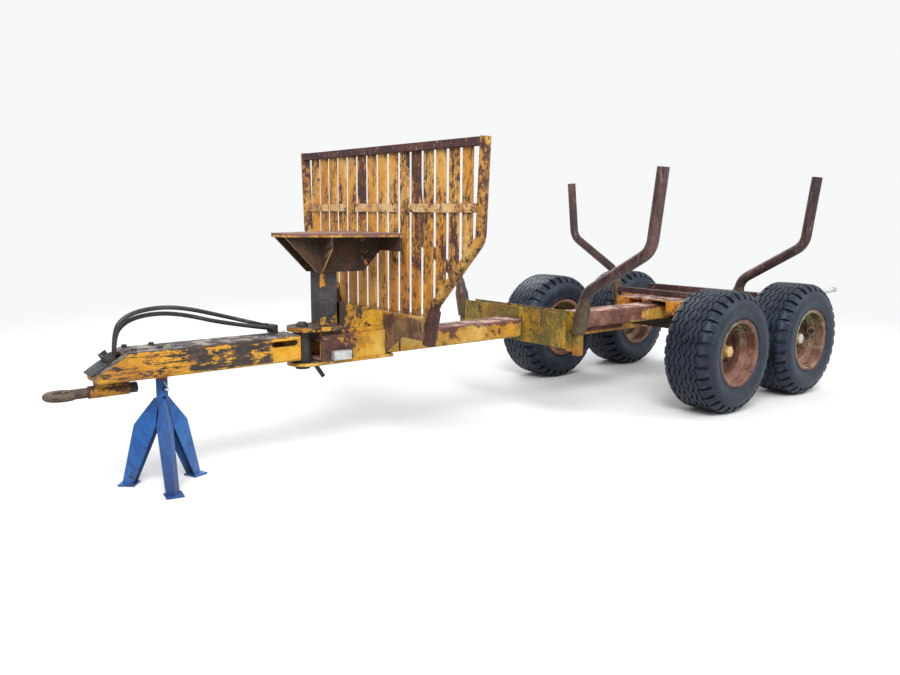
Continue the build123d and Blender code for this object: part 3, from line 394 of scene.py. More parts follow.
@dataclass(frozen=True)
class WornPaint:
    """Old paint that has flaked off rusty steel in patches, streaks, pits and along edges."""

    name: str
    paint: Colour = (0.68, 0.31, 0.020)
    faded: Colour = (0.78, 0.45, 0.075)
    stained: Colour = (0.36, 0.135, 0.016)
    bare_dark: Colour = (0.030, 0.013, 0.011)
    bare: Colour = (0.120, 0.042, 0.028)
    bare_light: Colour = (0.34, 0.115, 0.035)
    share: float = 0.35
    patch: float = 5.0
    broad: float = 1.0
    chips: float = 0.5
    scratches: float = 0.0
    streak: Point = EVEN
    top: float = 0.0
    # Painted sky reflection: a paler colour for bare metal on upward faces.
    lit_top_colour: Colour | None = None
    edge: float = 0.16
    pits: float = 0.22
    pit_scale: float = 46.0
    moss: float = 0.0
    moss_colour: Colour = (0.20, 0.17, 0.025)
    grime: float = 0.35
    zones: tuple[Zone, ...] = ()
    rim: tuple[float, Colour] | None = None
    offset: Point = ORIGIN

    def wear(self, g: Surface) -> Socket:
        """Adds up all that wears the paint.

        Args:
            g: the material's nodes.

        Returns:
            How far the paint has gone: above one half, bare metal shows.
        """
        parts: list[tuple[object, float]] = [
            (g.noise(self.patch, 7.0, 0.62, 0.4, self.streak, self.offset), self.broad),
            (g.noise(self.patch * 5.0, 5.0, 0.7, 0.2, self.streak, self.offset), self.chips),
            (g.noise(self.patch * 26.0, 3.0, 0.6), 0.24),
            (g.edges(), self.edge),
            (g.upward(), self.top),
        ]
        parts.extend((zone.value(g), 1.0) for zone in self.zones)
        middle = 0.5 * (self.broad + self.chips) - 0.38 + (0.5 - self.share) * 0.42
        return g.math("SUBTRACT", g.total(*parts), middle)

    def pitted(self, g: Surface, wear: Socket) -> Socket:
        """Scatters pits and scratches, thickest near worn paint.

        Args:
            g: the material's nodes.
            wear: how far the paint has gone.

        Returns:
            The mask of pits and scratches.
        """
        sets = [
            (g.blots(self.pit_scale, self.pits, self.streak), 1.0, 0.28, 0.44),
            (g.blots(self.pit_scale * 2.7, self.pits * 0.9), 0.8, 0.22, 0.46),
        ]
        if self.scratches > 0:
            sets.append((g.blots(34.0, self.scratches, (0.16, 1.0, 2.6), (4.0, 1.0, 2.0)), 1.0, 0.20, 0.40))
        mask: object = 0.0
        for spots, depth, low, high in sets:
            near = g.math("MULTIPLY", spots, g.step(wear, low, high))
            mask = g.math("MAXIMUM", mask, g.math("MULTIPLY", near, depth))
        return mask

    def coat(self, g: Surface, wear: Socket) -> Socket:
        """Colours the paint, with its fading, stains and dirt.

        Args:
            g: the material's nodes.
            wear: how far the paint has gone.

        Returns:
            The paint's colour.
        """
        tone = g.total((g.noise(3.1, 5.0, 0.6, 0.3, self.streak), 0.8), (g.noise(23.0, 5.0, 0.65), 0.2))
        paint = g.ramp(tone, (0.40, self.stained), (0.48, self.paint), (0.60, self.faded))
        paint = g.tint(paint, g.step(wear, 0.36, 0.50), 0.60, self.stained)
        dirt_and_shade = g.step(g.noise(14.0, 8.0, 0.7, 0.3, self.streak), 0.47, 0.66)
        return g.tint(paint, dirt_and_shade, self.grime, (0.07, 0.033, 0.016))

    def rust(self, g: Surface, fine: Socket, pitted: Socket) -> Socket:
        """Colours the bare metal, with a painted sky reflection on its upward faces where a top colour is given.

        Args:
            g: the material's nodes.
            fine: fine noise.
            pitted: the mask of pits and scratches.

        Returns:
            The metal's colour.
        """
        tone = g.total((g.noise(9.0, 8.0, 0.7, 0.3), 0.70), (fine, 0.30))
        rust = g.ramp(tone, (0.37, self.bare_dark), (0.49, self.bare), (0.62, self.bare_light))
        rust = g.tint(rust, pitted, 0.75, self.bare_dark)
        # Painted sky reflection: upward faces of the bare metal turn towards the top colour.
        if self.lit_top_colour:
            tone = g.noise(13.0, 7.0, 0.7)
            above = g.ramp(tone, (0.36, self.bare_dark), (0.46, self.bare), (0.58, self.lit_top_colour))
            rust = g.mix(g.step(g.upward(), 0.6, 0.95), rust, above)
        if self.rim:
            height, colour = self.rim
            rust = g.tint(rust, g.step(g.axis("Z"), height - 0.001, height), 0.8, colour)
        return rust

    def build(self) -> Material:
        """Writes the material.

        Returns:
            The finished material.
        """
        g = Surface(self.name)
        wear = self.wear(g)
        pitted = self.pitted(g, wear)
        bare = g.math("MAXIMUM", g.step(wear, 0.488, 0.512), pitted)
        fine = g.noise(95.0, 4.0, 0.65)
        colour = g.mix(bare, self.coat(g, wear), self.rust(g, fine, pitted))
        if self.moss > 0:
            lichen = g.total((g.noise(7.0, 8.0, 0.72, 0.5, offset=(3.1, 0.4, 1.7)), 1.0), (g.upward(), 0.05))
            share = g.step(lichen, 0.62 - 0.3 * self.moss, 0.74 - 0.3 * self.moss)
            colour = g.tint(colour, share, 0.85, g.ramp(fine, (0.35, (0.055, 0.058, 0.014)), (0.62, self.moss_colour)))
        # Painted shade with some grime: darker in corners, under ledges and between parts.
        colour = g.shade_and_soil(colour, 0.07, (0.25, 0.85), 0.72, (0.030, 0.018, 0.012))
        g.finish(colour, [(bare, 0.26), (fine, 0.16), (1.0, 0.42)])
        return g.bump(0.0022, 0.60, (bare, -0.60), (fine, 0.30), (g.noise(40.0, 6.0, 0.75), 0.5))


@dataclass(frozen=True)
class BareSteel:
    """Steel with no paint left: brown rust, dark stains and a dull sheen where it is rubbed."""

    name: str
    dark: Colour = (0.030, 0.018, 0.016)
    middle: Colour = (0.075, 0.036, 0.030)
    light: Colour = (0.16, 0.078, 0.060)
    roughness: float = 0.72
    streak: Point = EVEN
    metallic: float = 0.0
    specks: float = 0.0
    speck_colour: Colour = (0.30, 0.16, 0.11)
    moss: Pair | None = None

    def build(self) -> Material:
        """Writes the material.

        Returns:
            The finished material.
        """
        g = Surface(self.name)
        fine = g.noise(85.0, 5.0, 0.7)
        broad = g.noise(4.0, 8.0, 0.65, 0.4, self.streak)
        tone = g.total((broad, 0.62), (g.noise(19.0, 6.0, 0.7, 0.2), 0.26), (fine, 0.12))
        colour = g.ramp(tone, (0.37, self.dark), (0.50, self.middle), (0.63, self.light))
        colour = g.tint(colour, g.edges(), 0.5, self.light)
        colour = g.mix(g.blots(38.0, self.specks, self.streak, (1.0, 2.0, 3.0)), colour, self.speck_colour)
        colour = g.mix(g.blots(30.0, 0.2, self.streak), colour, self.dark)
        if self.moss:
            height = g.total((g.axis("Z"), 1.0), (g.math("SUBTRACT", g.noise(9.0, 6.0, 0.7, 0.3), 0.5), 0.9))
            film = g.ramp(fine, (0.36, (0.050, 0.036, 0.018)), (0.62, (0.165, 0.125, 0.050)))
            colour = g.tint(colour, g.step(height, *self.moss), 0.75, film)
        # Painted shade with some grime: darker in corners, under ledges and between parts.
        colour = g.shade_and_soil(colour, 0.07, (0.25, 0.85), 0.7, (0.015, 0.010, 0.009))
        g.finish(colour, [(tone, 0.3), (1.0, self.roughness - 0.15)], Metallic=self.metallic)
        return g.bump(0.0015, 0.5, (fine, 0.6), (g.noise(30.0, 7.0, 0.75), 0.7))


@dataclass(frozen=True)
class TyreRubber:
    """Weathered tyre rubber with patches of dust, painted shade in its grooves and painted bluish highlights on its
    blocks' edges.
    """

    name: str = "tyre_rubber"

    def build(self) -> Material:
        """Writes the material.

        Returns:
            The finished material.
        """
        g = Surface(self.name, 0.0015)
        fine = g.noise(140.0, 4.0, 0.6)
        tone = g.noise(11.0, 7.0, 0.65, 0.3)
        colour = g.ramp(
            tone, (0.38, (0.0072, 0.0094, 0.0170)), (0.52, (0.0125, 0.0162, 0.0285)), (0.68, (0.029, 0.036, 0.056))
        )
        # Painted highlights: pale bluish sky reflection along the blocks' edges, in patches.
        edge_highlights = g.math("MULTIPLY", g.edges(), g.step(g.noise(17.0, 6.0, 0.7), 0.40, 0.56))
        colour = g.tint(colour, edge_highlights, 0.9, (0.130, 0.145, 0.185))
        colour = g.tint(colour, g.blots(26.0, 0.18, offset=(7.0, 3.0, 1.0)), 0.35, (0.075, 0.085, 0.110))
        dust = g.step(g.noise(5.0, 8.0, 0.75, 0.6, offset=(1.0, 2.0, 5.0)), 0.55, 0.75)
        colour = g.tint(colour, dust, 0.22, (0.085, 0.078, 0.070))
        # Painted shade: near black in the grooves and between the blocks.
        colour = g.shade_and_soil(colour, 0.018, (0.35, 0.9), 0.9, (0.003, 0.003, 0.004))
        tint = {"Specular_IOR_Level": 0.42, "Specular_Tint": (0.66, 0.80, 1.0)}
        g.finish(colour, [(fine, 0.16), (tone, 0.24), (1.0, 0.28)], **tint)
        return g.bump(0.0008, 0.5, (fine, 0.5), (g.noise(38.0, 5.0, 0.7), 0.5), flat=True)


@dataclass(frozen=True)
class WheelPaint:
    """Cream wheel paint that rust has eaten from the rim's lip inwards."""

    name: str
    centre: Point
    hub: Colour = (0.42, 0.30, 0.10)
    spared: float = 0.0

    def build(self) -> Material:
        """Writes the material.

        Returns:
            The finished material.
        """
        g = Surface(self.name, 0.003)
        x, y, z = (g.math("SUBTRACT", g.axis(name), middle) for name, middle in zip("XYZ", self.centre))
        reach = g.math("SQRT", g.total((g.math("MULTIPLY", x, x), 1.0), (g.math("MULTIPLY", z, z), 1.0)))
        patch = g.noise(13.0, 7.0, 0.65, 0.4)
        lip = g.step(reach, 0.208, 0.228)
        rusted = g.total((patch, 0.8), (lip, 0.45), (z, -0.88), (x, 1.19), (1.0, -self.spared))
        rusted = g.step(rusted, 0.26, 0.46)
        fine = g.noise(120.0, 4.0, 0.65)
        tone = g.noise(21.0, 6.0, 0.7, 0.2)
        cream = g.ramp(tone, (0.36, (0.14, 0.105, 0.040)), (0.50, (0.30, 0.25, 0.13)), (0.66, (0.46, 0.40, 0.26)))
        tone = g.total((g.noise(6.0, 7.0, 0.65), 0.8), (fine, 0.2))
        rust = g.ramp(tone, (0.36, (0.085, 0.033, 0.022)), (0.50, (0.200, 0.085, 0.058)), (0.66, (0.40, 0.205, 0.140)))
        colour = g.mix(rusted, cream, rust)
        colour = g.mix(g.blots(34.0, 0.22), colour, (0.07, 0.028, 0.018))
        colour = g.mix(g.blots(16.0, 0.10, offset=(5.0, 2.0, 1.0)), colour, (0.13, 0.080, 0.045))
        # Painted shade of pressed ridges: dark concentric rings across the rim's dish.
        spread = g.total((reach, 1.0), (g.math("ABSOLUTE", y), 0.8), (patch, 0.03))
        rings = g.step(g.math("SINE", g.math("MULTIPLY", spread, 190.0)), 0.1, 0.95)
        colour = g.tint(colour, rings, 0.32, (0.075, 0.040, 0.024))
        # Painted shade with some grime: darker inside the rim's dish and in its corners.
        colour = g.shade_and_soil(colour, 0.10, (0.15, 0.80), 0.62, (0.055, 0.028, 0.018))
        chipped = g.step(g.noise(48.0, 6.0, 0.7), 0.60, 0.64)
        hub = g.mix(chipped, self.hub, (0.20, 0.10, 0.05))
        colour = g.mix(g.inverse(g.step(reach, 0.050, 0.056)), colour, hub)
        g.finish(colour, [(rusted, 0.2), (fine, 0.15), (1.0, 0.42)])
        return g.bump(0.0012, 0.5, (rusted, -0.3), (fine, 0.4), (g.noise(45.0, 6.0, 0.7), 0.4))


@dataclass(frozen=True)
class Zinc:
    """Dull galvanised steel with pale bloom and brown runs."""

    name: str = "galvanised"

    def build(self) -> Material:
        """Writes the material.

        Returns:
            The finished material.
        """
        g = Surface(self.name, 0.003)
        spangle = g.node("TexVoronoi", Vector=g.coords, Scale=60.0).outputs["Distance"]
        tone = g.total((g.noise(16.0, 6.0, 0.6), 0.7), (spangle, 0.3))
        colour = g.ramp(tone, (0.25, (0.30, 0.31, 0.33)), (0.45, (0.52, 0.53, 0.54)), (0.62, (0.70, 0.70, 0.69)))
        stain = g.step(g.noise(9.0, 8.0, 0.7, offset=(2.0, 1.0, 0.0)), 0.56, 0.70)
        colour = g.tint(colour, stain, 0.6, (0.13, 0.085, 0.055))
        g.finish(colour, [(tone, 0.4), (1.0, 0.28)], Metallic=0.45)
        return g.bump(0.0008, 0.4, (g.noise(70.0, 5.0, 0.65), 1.0))


@dataclass(frozen=True)
class HoseRubber:
    """Satin black hose cover, a little dusty on top."""

    name: str = "hose_rubber"

    def build(self) -> Material:
        """Writes the material.

        Returns:
            The finished material.
        """
        g = Surface(self.name)
        fine = g.noise(190.0, 3.0, 0.6)
        tone = g.total((g.noise(12.0, 6.0, 0.65), 1.0), (g.upward(), 0.04))
        colour = g.ramp(
            tone, (0.40, (0.010, 0.010, 0.012)), (0.58, (0.030, 0.031, 0.035)), (0.70, (0.085, 0.085, 0.085))
        )
        g.finish(colour, [(fine, 0.25), (1.0, 0.30)])
        return g.bump(0.0005, 0.4, (fine, 0.6), (g.noise(45.0, 3.0, 0.5), 0.3), flat=True)


Finishes = dict[tuple[str, ...], WornPaint | BareSteel | Zinc]

CHASSIS_FINISHES: Finishes = {
    ("main_beam", "beam_strip"): WornPaint(
        "beam_paint", paint=(0.76, 0.38, 0.03), faded=(0.86, 0.56, 0.15), stained=(0.5, 0.21, 0.026),
        bare_dark=(0.075, 0.03, 0.024), bare=(0.19, 0.078, 0.058), bare_light=(0.33, 0.165, 0.12),
        lit_top_colour=(0.56, 0.36, 0.3), share=0.28, patch=4.0, edge=0.26, grime=0.25, top=0.34,
        zones=(
            Zone(
                "X",
                (
                    (-1.78, -0.05), (-1.2, -0.06), (-0.25, -0.02), (-0.1, 0.36), (0.84, 0.36), (1.06, 0.06),
                    (1.24, 0.0), (1.5, 0.2), (2.03, 0.3),
                ),
            ),
            Zone("Z", ((0.545, 0.1), (0.56, -0.02), (0.625, -0.03), (0.648, 0.13), (0.67, 0.13))),
        ),
    ),
    ("beam_head", "bogie_beams"): WornPaint(
        "head_paint", paint=(0.76, 0.38, 0.028), faded=(0.86, 0.54, 0.11), stained=(0.5, 0.2, 0.024),
        bare=(0.085, 0.034, 0.03), bare_light=(0.2, 0.085, 0.05), share=0.41, patch=4.6, offset=(0.7, 0.0, 0.3),
        moss=0.24,
        zones=(Zone("X", ((-1.8, 0.16), (-1.68, 0.12), (-1.6, 0.02), (-1.5, -0.08), (-1.3, -0.12), (3.17, -0.05))),),
    ),
    ("pivot_top_plate", "pivot_bottom_plate"): WornPaint(
        "plate_paint", bare=(0.045, 0.034, 0.028), bare_light=(0.11, 0.085, 0.05), lit_top_colour=(0.13, 0.11, 0.075),
        share=0.17, top=0.46, edge=0.05,
        zones=(Zone("Z", ((0.4, 0.45), (0.525, 0.45), (0.53, 0.0), (0.75, 0.0))),),
    ),
    ("front_bolster",): WornPaint(
        "bolster_paint", paint=(0.5, 0.3, 0.018), faded=(0.58, 0.4, 0.05), bare=(0.1, 0.06, 0.03), share=0.3,
        patch=6.0, streak=(1.0, 1.0, 0.45), moss=0.66, pits=0.3,
        zones=(Zone("Y", ((-0.62, -0.1), (-0.5, -0.08), (-0.46, 0.02), (0.62, 0.0))),),
    ),
    ("rear_bolster", "bogie_saddle"): WornPaint(
        "saddle_paint", paint=(0.74, 0.28, 0.022), faded=(0.8, 0.38, 0.05), bare=(0.075, 0.028, 0.02),
        lit_top_colour=(0.46, 0.28, 0.24), share=0.53, patch=8.0, top=0.3, chips=0.8, pits=0.4,
        zones=(Zone("Z", ((0.4, 0.16), (0.56, 0.1), (0.62, -0.14), (0.7, -0.14))),),
    ),
    ("front_stakes", "rear_stakes"): BareSteel(
        "stake_steel", dark=(0.02, 0.013, 0.016), middle=(0.064, 0.033, 0.032), light=(0.18, 0.104, 0.09),
        roughness=0.46, metallic=0.42, streak=(1.6, 1.6, 0.22), specks=0.12, speck_colour=(0.24, 0.155, 0.14),
        moss=(0.86, 0.66),
    ),
    ("rear_rail", "rear_cross_bar"): BareSteel(
        "bar_steel", dark=(0.02, 0.01, 0.01), middle=(0.052, 0.02, 0.019), light=(0.17, 0.08, 0.065), specks=0.12,
        speck_colour=(0.24, 0.13, 0.1),
    ),
    ("bogie_axle",): BareSteel(
        "axle_steel", dark=(0.018, 0.013, 0.012), middle=(0.045, 0.028, 0.022), light=(0.1, 0.055, 0.038),
    ),
    ("pivot_pin",): BareSteel(
        "pivot_steel", dark=(0.012, 0.011, 0.011), middle=(0.026, 0.022, 0.021), light=(0.055, 0.045, 0.04),
        roughness=0.55,
    ),
    ("side_bracket", "extension_tube"): Zinc(),
}

PEDESTAL_FINISHES: Finishes = {
    ("pedestal_column",): WornPaint(
        "column_paint", bare_dark=(0.016, 0.014, 0.015), bare=(0.038, 0.034, 0.036), bare_light=(0.09, 0.076, 0.074),
        share=0.84, patch=6.0, edge=0.0,
        zones=(
            Zone("Z", ((0.74, -0.06), (0.78, -0.04), (0.8, 0.06), (1.25, 0.1))),
            Zone(
                "X", ((-1.7515, 0.0), (-1.75, -0.19), (-1.738, -0.15), (-1.705, 0.0), (-1.63, 0.0)), "Z", (0.9, 0.98),
            ),
            Zone(
                "X", ((-1.7515, 0.0), (-1.75, -0.15), (-1.728, -0.18), (-1.7, 0.0), (-1.63, 0.0)), "Z",
                (0.815, 0.775),
            ),
            Zone("X", ((-1.7515, 0.0), (-1.66, 0.0), (-1.65, -0.12), (-1.63, -0.12))),
        ),
    ),
    ("crane_table",): WornPaint(
        "table_paint", paint=(0.7, 0.36, 0.045), faded=(0.76, 0.5, 0.22), bare_dark=(0.012, 0.008, 0.008),
        bare=(0.03, 0.016, 0.012), bare_light=(0.105, 0.046, 0.02), lit_top_colour=(0.56, 0.37, 0.29), share=0.8,
        patch=9.0, broad=0.7, chips=0.8, top=0.55, edge=-0.2, pits=0.1, rim=(1.2285, (0.24, 0.12, 0.1)),
        zones=(Zone("Z", ((1.03, 0.0), (1.222, 0.02), (1.2285, -0.17), (1.236, -0.15), (1.241, 0.0), (1.25, 0.02))),),
    ),
    ("pedestal_brace",): WornPaint(
        "brace_paint", paint=(0.78, 0.4, 0.032), faded=(0.88, 0.58, 0.15), bare=(0.04, 0.034, 0.024),
        bare_light=(0.13, 0.075, 0.03), share=0.34, patch=4.6, top=0.2,
        zones=(Zone("X", ((-1.66, 0.3), (-1.625, 0.2), (-1.575, -0.02), (-1.3, -0.13))),),
    ),
    ("headboard_base",): WornPaint(
        "headboard_base_paint", paint=(0.54, 0.29, 0.055), faded=(0.7, 0.46, 0.19), bare=(0.15, 0.074, 0.046),
        bare_light=(0.33, 0.185, 0.11), moss_colour=(0.24, 0.19, 0.045), share=0.7, patch=6.4, edge=0.0, chips=0.8,
        streak=(1.0, 1.0, 0.4), moss=0.34,
        zones=(Zone("Z", ((0.6, 0.04), (0.77, 0.0), (0.79, -0.24), (0.8, -0.24))),),
    ),
    ("headboard_posts",): WornPaint(
        "post_paint", paint=(0.72, 0.35, 0.055), faded=(0.84, 0.51, 0.15), bare=(0.11, 0.036, 0.026),
        bare_light=(0.3, 0.12, 0.07), share=0.34, patch=14.0, chips=0.75, streak=(1.0, 1.0, 0.6), pits=0.52,
        pit_scale=62.0,
        zones=(
            Zone(
                "Z",
                ((0.6, 0.42), (0.82, 0.42), (0.87, 0.04), (0.93, -0.08), (1.2, -0.04), (1.3, -0.01), (1.74, 0.02)),
            ),
        ),
    ),
    ("headboard_slats",): WornPaint(
        "slat_paint", paint=(0.8, 0.365, 0.036), faded=(0.87, 0.51, 0.15), stained=(0.6, 0.235, 0.028),
        bare=(0.125, 0.04, 0.028), bare_light=(0.38, 0.13, 0.035), share=0.17, patch=8.0, edge=0.36,
        streak=(1.0, 1.2, 0.45), moss=0.08, grime=0.28, pits=0.42, pit_scale=60.0,
        zones=(
            Zone(
                "Y",
                (
                    (-0.82, 0.0), (-0.756, -0.05), (-0.648, 0.09), (-0.54, 0.02), (-0.432, 0.0), (-0.324, 0.17),
                    (-0.216, 0.14), (-0.108, 0.0), (0.0, -0.05), (0.108, 0.0), (0.216, 0.2), (0.324, 0.02),
                    (0.432, 0.0), (0.756, 0.0), (0.82, 0.0),
                ),
                "Z", (1.22, 1.5),
            ),
            Zone(
                "Y",
                (
                    (-0.82, 0.0), (-0.756, 0.0), (-0.648, 0.14), (-0.54, 0.1), (-0.432, 0.03), (-0.324, 0.15),
                    (-0.216, 0.08), (-0.108, 0.0), (0.216, -0.05), (0.324, -0.03), (0.82, 0.0),
                ),
                "Z", (1.45, 1.2),
            ),
        ),
    ),
    ("headboard_straps",): WornPaint(
        "strap_paint", paint=(0.78, 0.45, 0.175), faded=(0.86, 0.6, 0.31), stained=(0.6, 0.28, 0.09), share=0.22,
        patch=14.0, edge=0.36, pits=0.3, grime=0.2,
    ),
    ("headboard_rail",): BareSteel(
        "rail_steel", dark=(0.024, 0.01, 0.011), middle=(0.06, 0.021, 0.021), light=(0.19, 0.075, 0.05), specks=0.16,
        speck_colour=(0.42, 0.22, 0.13),
    ),
}

DRAWBAR_FINISHES: Finishes = {
    ("drawbar_beam",): WornPaint(
        "drawbar_paint", paint=(0.78, 0.37, 0.018), faded=(0.88, 0.49, 0.05), stained=(0.52, 0.21, 0.018),
        bare_dark=(0.02, 0.016, 0.016), bare=(0.048, 0.034, 0.03), bare_light=(0.125, 0.08, 0.058),
        lit_top_colour=(0.3, 0.26, 0.225), share=0.3, patch=7.0, edge=0.26, grime=0.26, broad=0.7, chips=0.95,
        scratches=0.28, streak=(0.5, 1.0, 1.5), pits=0.34, top=0.45,
        zones=(
            Zone(
                "X",
                (
                    (-2.95, -0.04), (-2.53, -0.03), (-2.495, 0.2), (-2.41, 0.18), (-2.37, 0.09), (-2.31, 0.08),
                    (-2.27, 0.18), (-2.2, 0.2), (-2.16, 0.11), (-2.1, 0.14), (-2.07, 0.06), (-2.055, -0.16),
                    (-1.9, -0.18),
                ),
            ),
        ),
    ),
    ("nose_plate",): WornPaint(
        "nose_paint", bare_dark=(0.018, 0.018, 0.021), bare=(0.048, 0.047, 0.052), bare_light=(0.125, 0.115, 0.105),
        share=0.86, patch=9.0,
    ),
    ("eye_housing",): WornPaint(
        "housing_paint", paint=(0.78, 0.37, 0.018), faded=(0.88, 0.49, 0.05), bare=(0.05, 0.028, 0.022), share=0.4,
        patch=9.0, chips=0.8, pits=0.3, top=0.2,
    ),
    ("towing_eye",): BareSteel(
        "eye_steel", dark=(0.035, 0.024, 0.02), middle=(0.085, 0.055, 0.042), light=(0.17, 0.11, 0.075), specks=0.12,
        speck_colour=(0.4, 0.24, 0.07),
    ),
    ("pivot_barrel", "eye_nut", "hose_fittings"): BareSteel(
        "barrel_steel", dark=(0.012, 0.011, 0.011), middle=(0.028, 0.023, 0.022), light=(0.07, 0.05, 0.035),
        roughness=0.6,
    ),
    ("stand_post", "stand_legs"): WornPaint(
        "stand_blue", paint=(0.006, 0.085, 0.34), faded=(0.022, 0.17, 0.52), stained=(0.004, 0.042, 0.2),
        bare=(0.05, 0.03, 0.03), bare_light=(0.16, 0.06, 0.03), share=0.1, patch=11.0, edge=0.08, pits=0.12,
        grime=0.1,
    ),
    ("stand_saddle",): WornPaint(
        "stand_red", paint=(0.42, 0.03, 0.055), faded=(0.55, 0.1, 0.12), stained=(0.22, 0.014, 0.024), share=0.14,
        patch=12.0, pits=0.1, grime=0.12,
    ),
}


def linked(name: str, data: bpy.types.ID) -> Piece:
    """Shows some data in the scene.

    Args:
        name: the new object's name.
        data: its mesh, curve, lamp or camera.

    Returns:
        The new object.
    """
    piece = bpy.data.objects.new(name, data)
    bpy.context.scene.collection.objects.link(piece)
    return piece


def new_piece(name: str, mesh: Mesh, place: Point = ORIGIN, smooth: float = 35.0) -> Piece:
    """Turns a bmesh into an object of the scene.

    Args:
        name: the piece's name.
        mesh: its geometry, which is freed.
        place: where its own origin stands.
        smooth: edges that turn by more degrees than this stay sharp.

    Returns:
        The new object.
    """
    data = bpy.data.meshes.new(name)
    bmesh.ops.recalc_face_normals(mesh, faces=mesh.faces)
    mesh.to_mesh(data)
    mesh.free()
    data.shade_smooth()
    data.set_sharp_from_angle(angle=math.radians(smooth))
    piece = linked(name, data)
    piece.location = place
    return piece


def settle(piece: Piece, body: str, slot: Slot, material: Material) -> None:
    """Gives a piece its material and the body that it rides on.

    Args:
        piece: the piece.
        body: the body's name.
        slot: the material slot; not used.
        material: the finish.
    """
    piece.data.materials.append(material)
    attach(piece, body)
    log.info("%s rides on %s", piece.name, body)


def dress(finishes: dict[str, Material]) -> None:
    """Gives CAD nodes their finishes.

    Args:
        finishes: the material of each node.
    """
    for node, material in finishes.items():
        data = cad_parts[node].data
        if not data.materials:
            data.materials.append(material)
        for index in range(len(data.materials)):
            data.materials[index] = material
        log.info("%s is dressed in %s", node, material.name)


def dress_all(finishes: Finishes) -> None:
    """Builds finishes and gives them to their CAD nodes.

    Args:
        finishes: the finish of each group of nodes.
    """
    for nodes, finish in finishes.items():
        dress(dict.fromkeys(nodes, finish.build()))


def turned(mesh: Mesh, profile: Sequence[Pair], place: Matrix, steps: int) -> None:
    """Adds a turned form to a mesh.

    Args:
        mesh: what it is added to.
        profile: pairs of radius and height along the turning axis.
        place: where the form stands, its axis along Z.
        steps: divisions of the full turn.
    """
    rings = []
    for radius, height in profile:
        turns = [math.tau * i / steps for i in range(steps)] if radius > 0 else [0.0]
        spots = [Vector((radius * math.cos(t), radius * math.sin(t), height)) for t in turns]
        rings.append([mesh.verts.new(place @ spot) for spot in spots])
    for low, high in zip(rings, rings[1:]):
        for i in range(steps):
            j = (i + 1) % steps
            corners = [low[i % len(low)], low[j % len(low)], high[j % len(high)], high[i % len(high)]]
            unique = list(dict.fromkeys(corners))
            if len(unique) > 2:
                mesh.faces.new(unique)


def facing(place: Point, way: Point) -> Matrix:
    """Returns a frame at a place whose Z axis points one way."""
    return Matrix.Translation(place) @ Vector(way).to_track_quat("Z", "Y").to_matrix().to_4x4()


def hexagon(mesh: Mesh, place: Matrix, across: float, height: float) -> None:
    """Adds a hexagon head with chamfered corners to a mesh."""
    r = across / math.sqrt(3)
    turned(mesh, [(0, 0), (r, 0), (r, height * 0.8), (r * 0.86, height), (0, height)], place, steps=6)


def wire(mesh: Mesh, path: Sequence[Point], radius: float) -> None:
    """Adds a round wire along straight runs to a mesh.

    Args:
        mesh: what it is added to.
        path: the ends of the runs.
        radius: the wire's radius.
    """
    for start, end in zip(path, path[1:]):
        run = Vector(end) - Vector(start)
        bevel = radius * 0.7
        profile = [(0, -radius), (bevel, -bevel), (radius, 0)]
        profile += [(r, run.length - z) for r, z in reversed(profile)]
        turned(mesh, profile, facing(start, run), steps=10)


@dataclass
class Chassis:
    """The beam with its plates, bolsters and stakes, and the axle. They keep the CAD's shapes."""

    finishes: Finishes = field(default_factory=lambda: CHASSIS_FINISHES)

    def build(self) -> None:
        """Dresses the CAD nodes."""
        dress_all(self.finishes)


@dataclass
class Pedestal:
    """The crane's pedestal and the headboard behind it. They keep the CAD's shapes."""

    finishes: Finishes = field(default_factory=lambda: PEDESTAL_FINISHES)

    def build(self) -> None:
        """Dresses the CAD nodes."""
        dress_all(self.finishes)


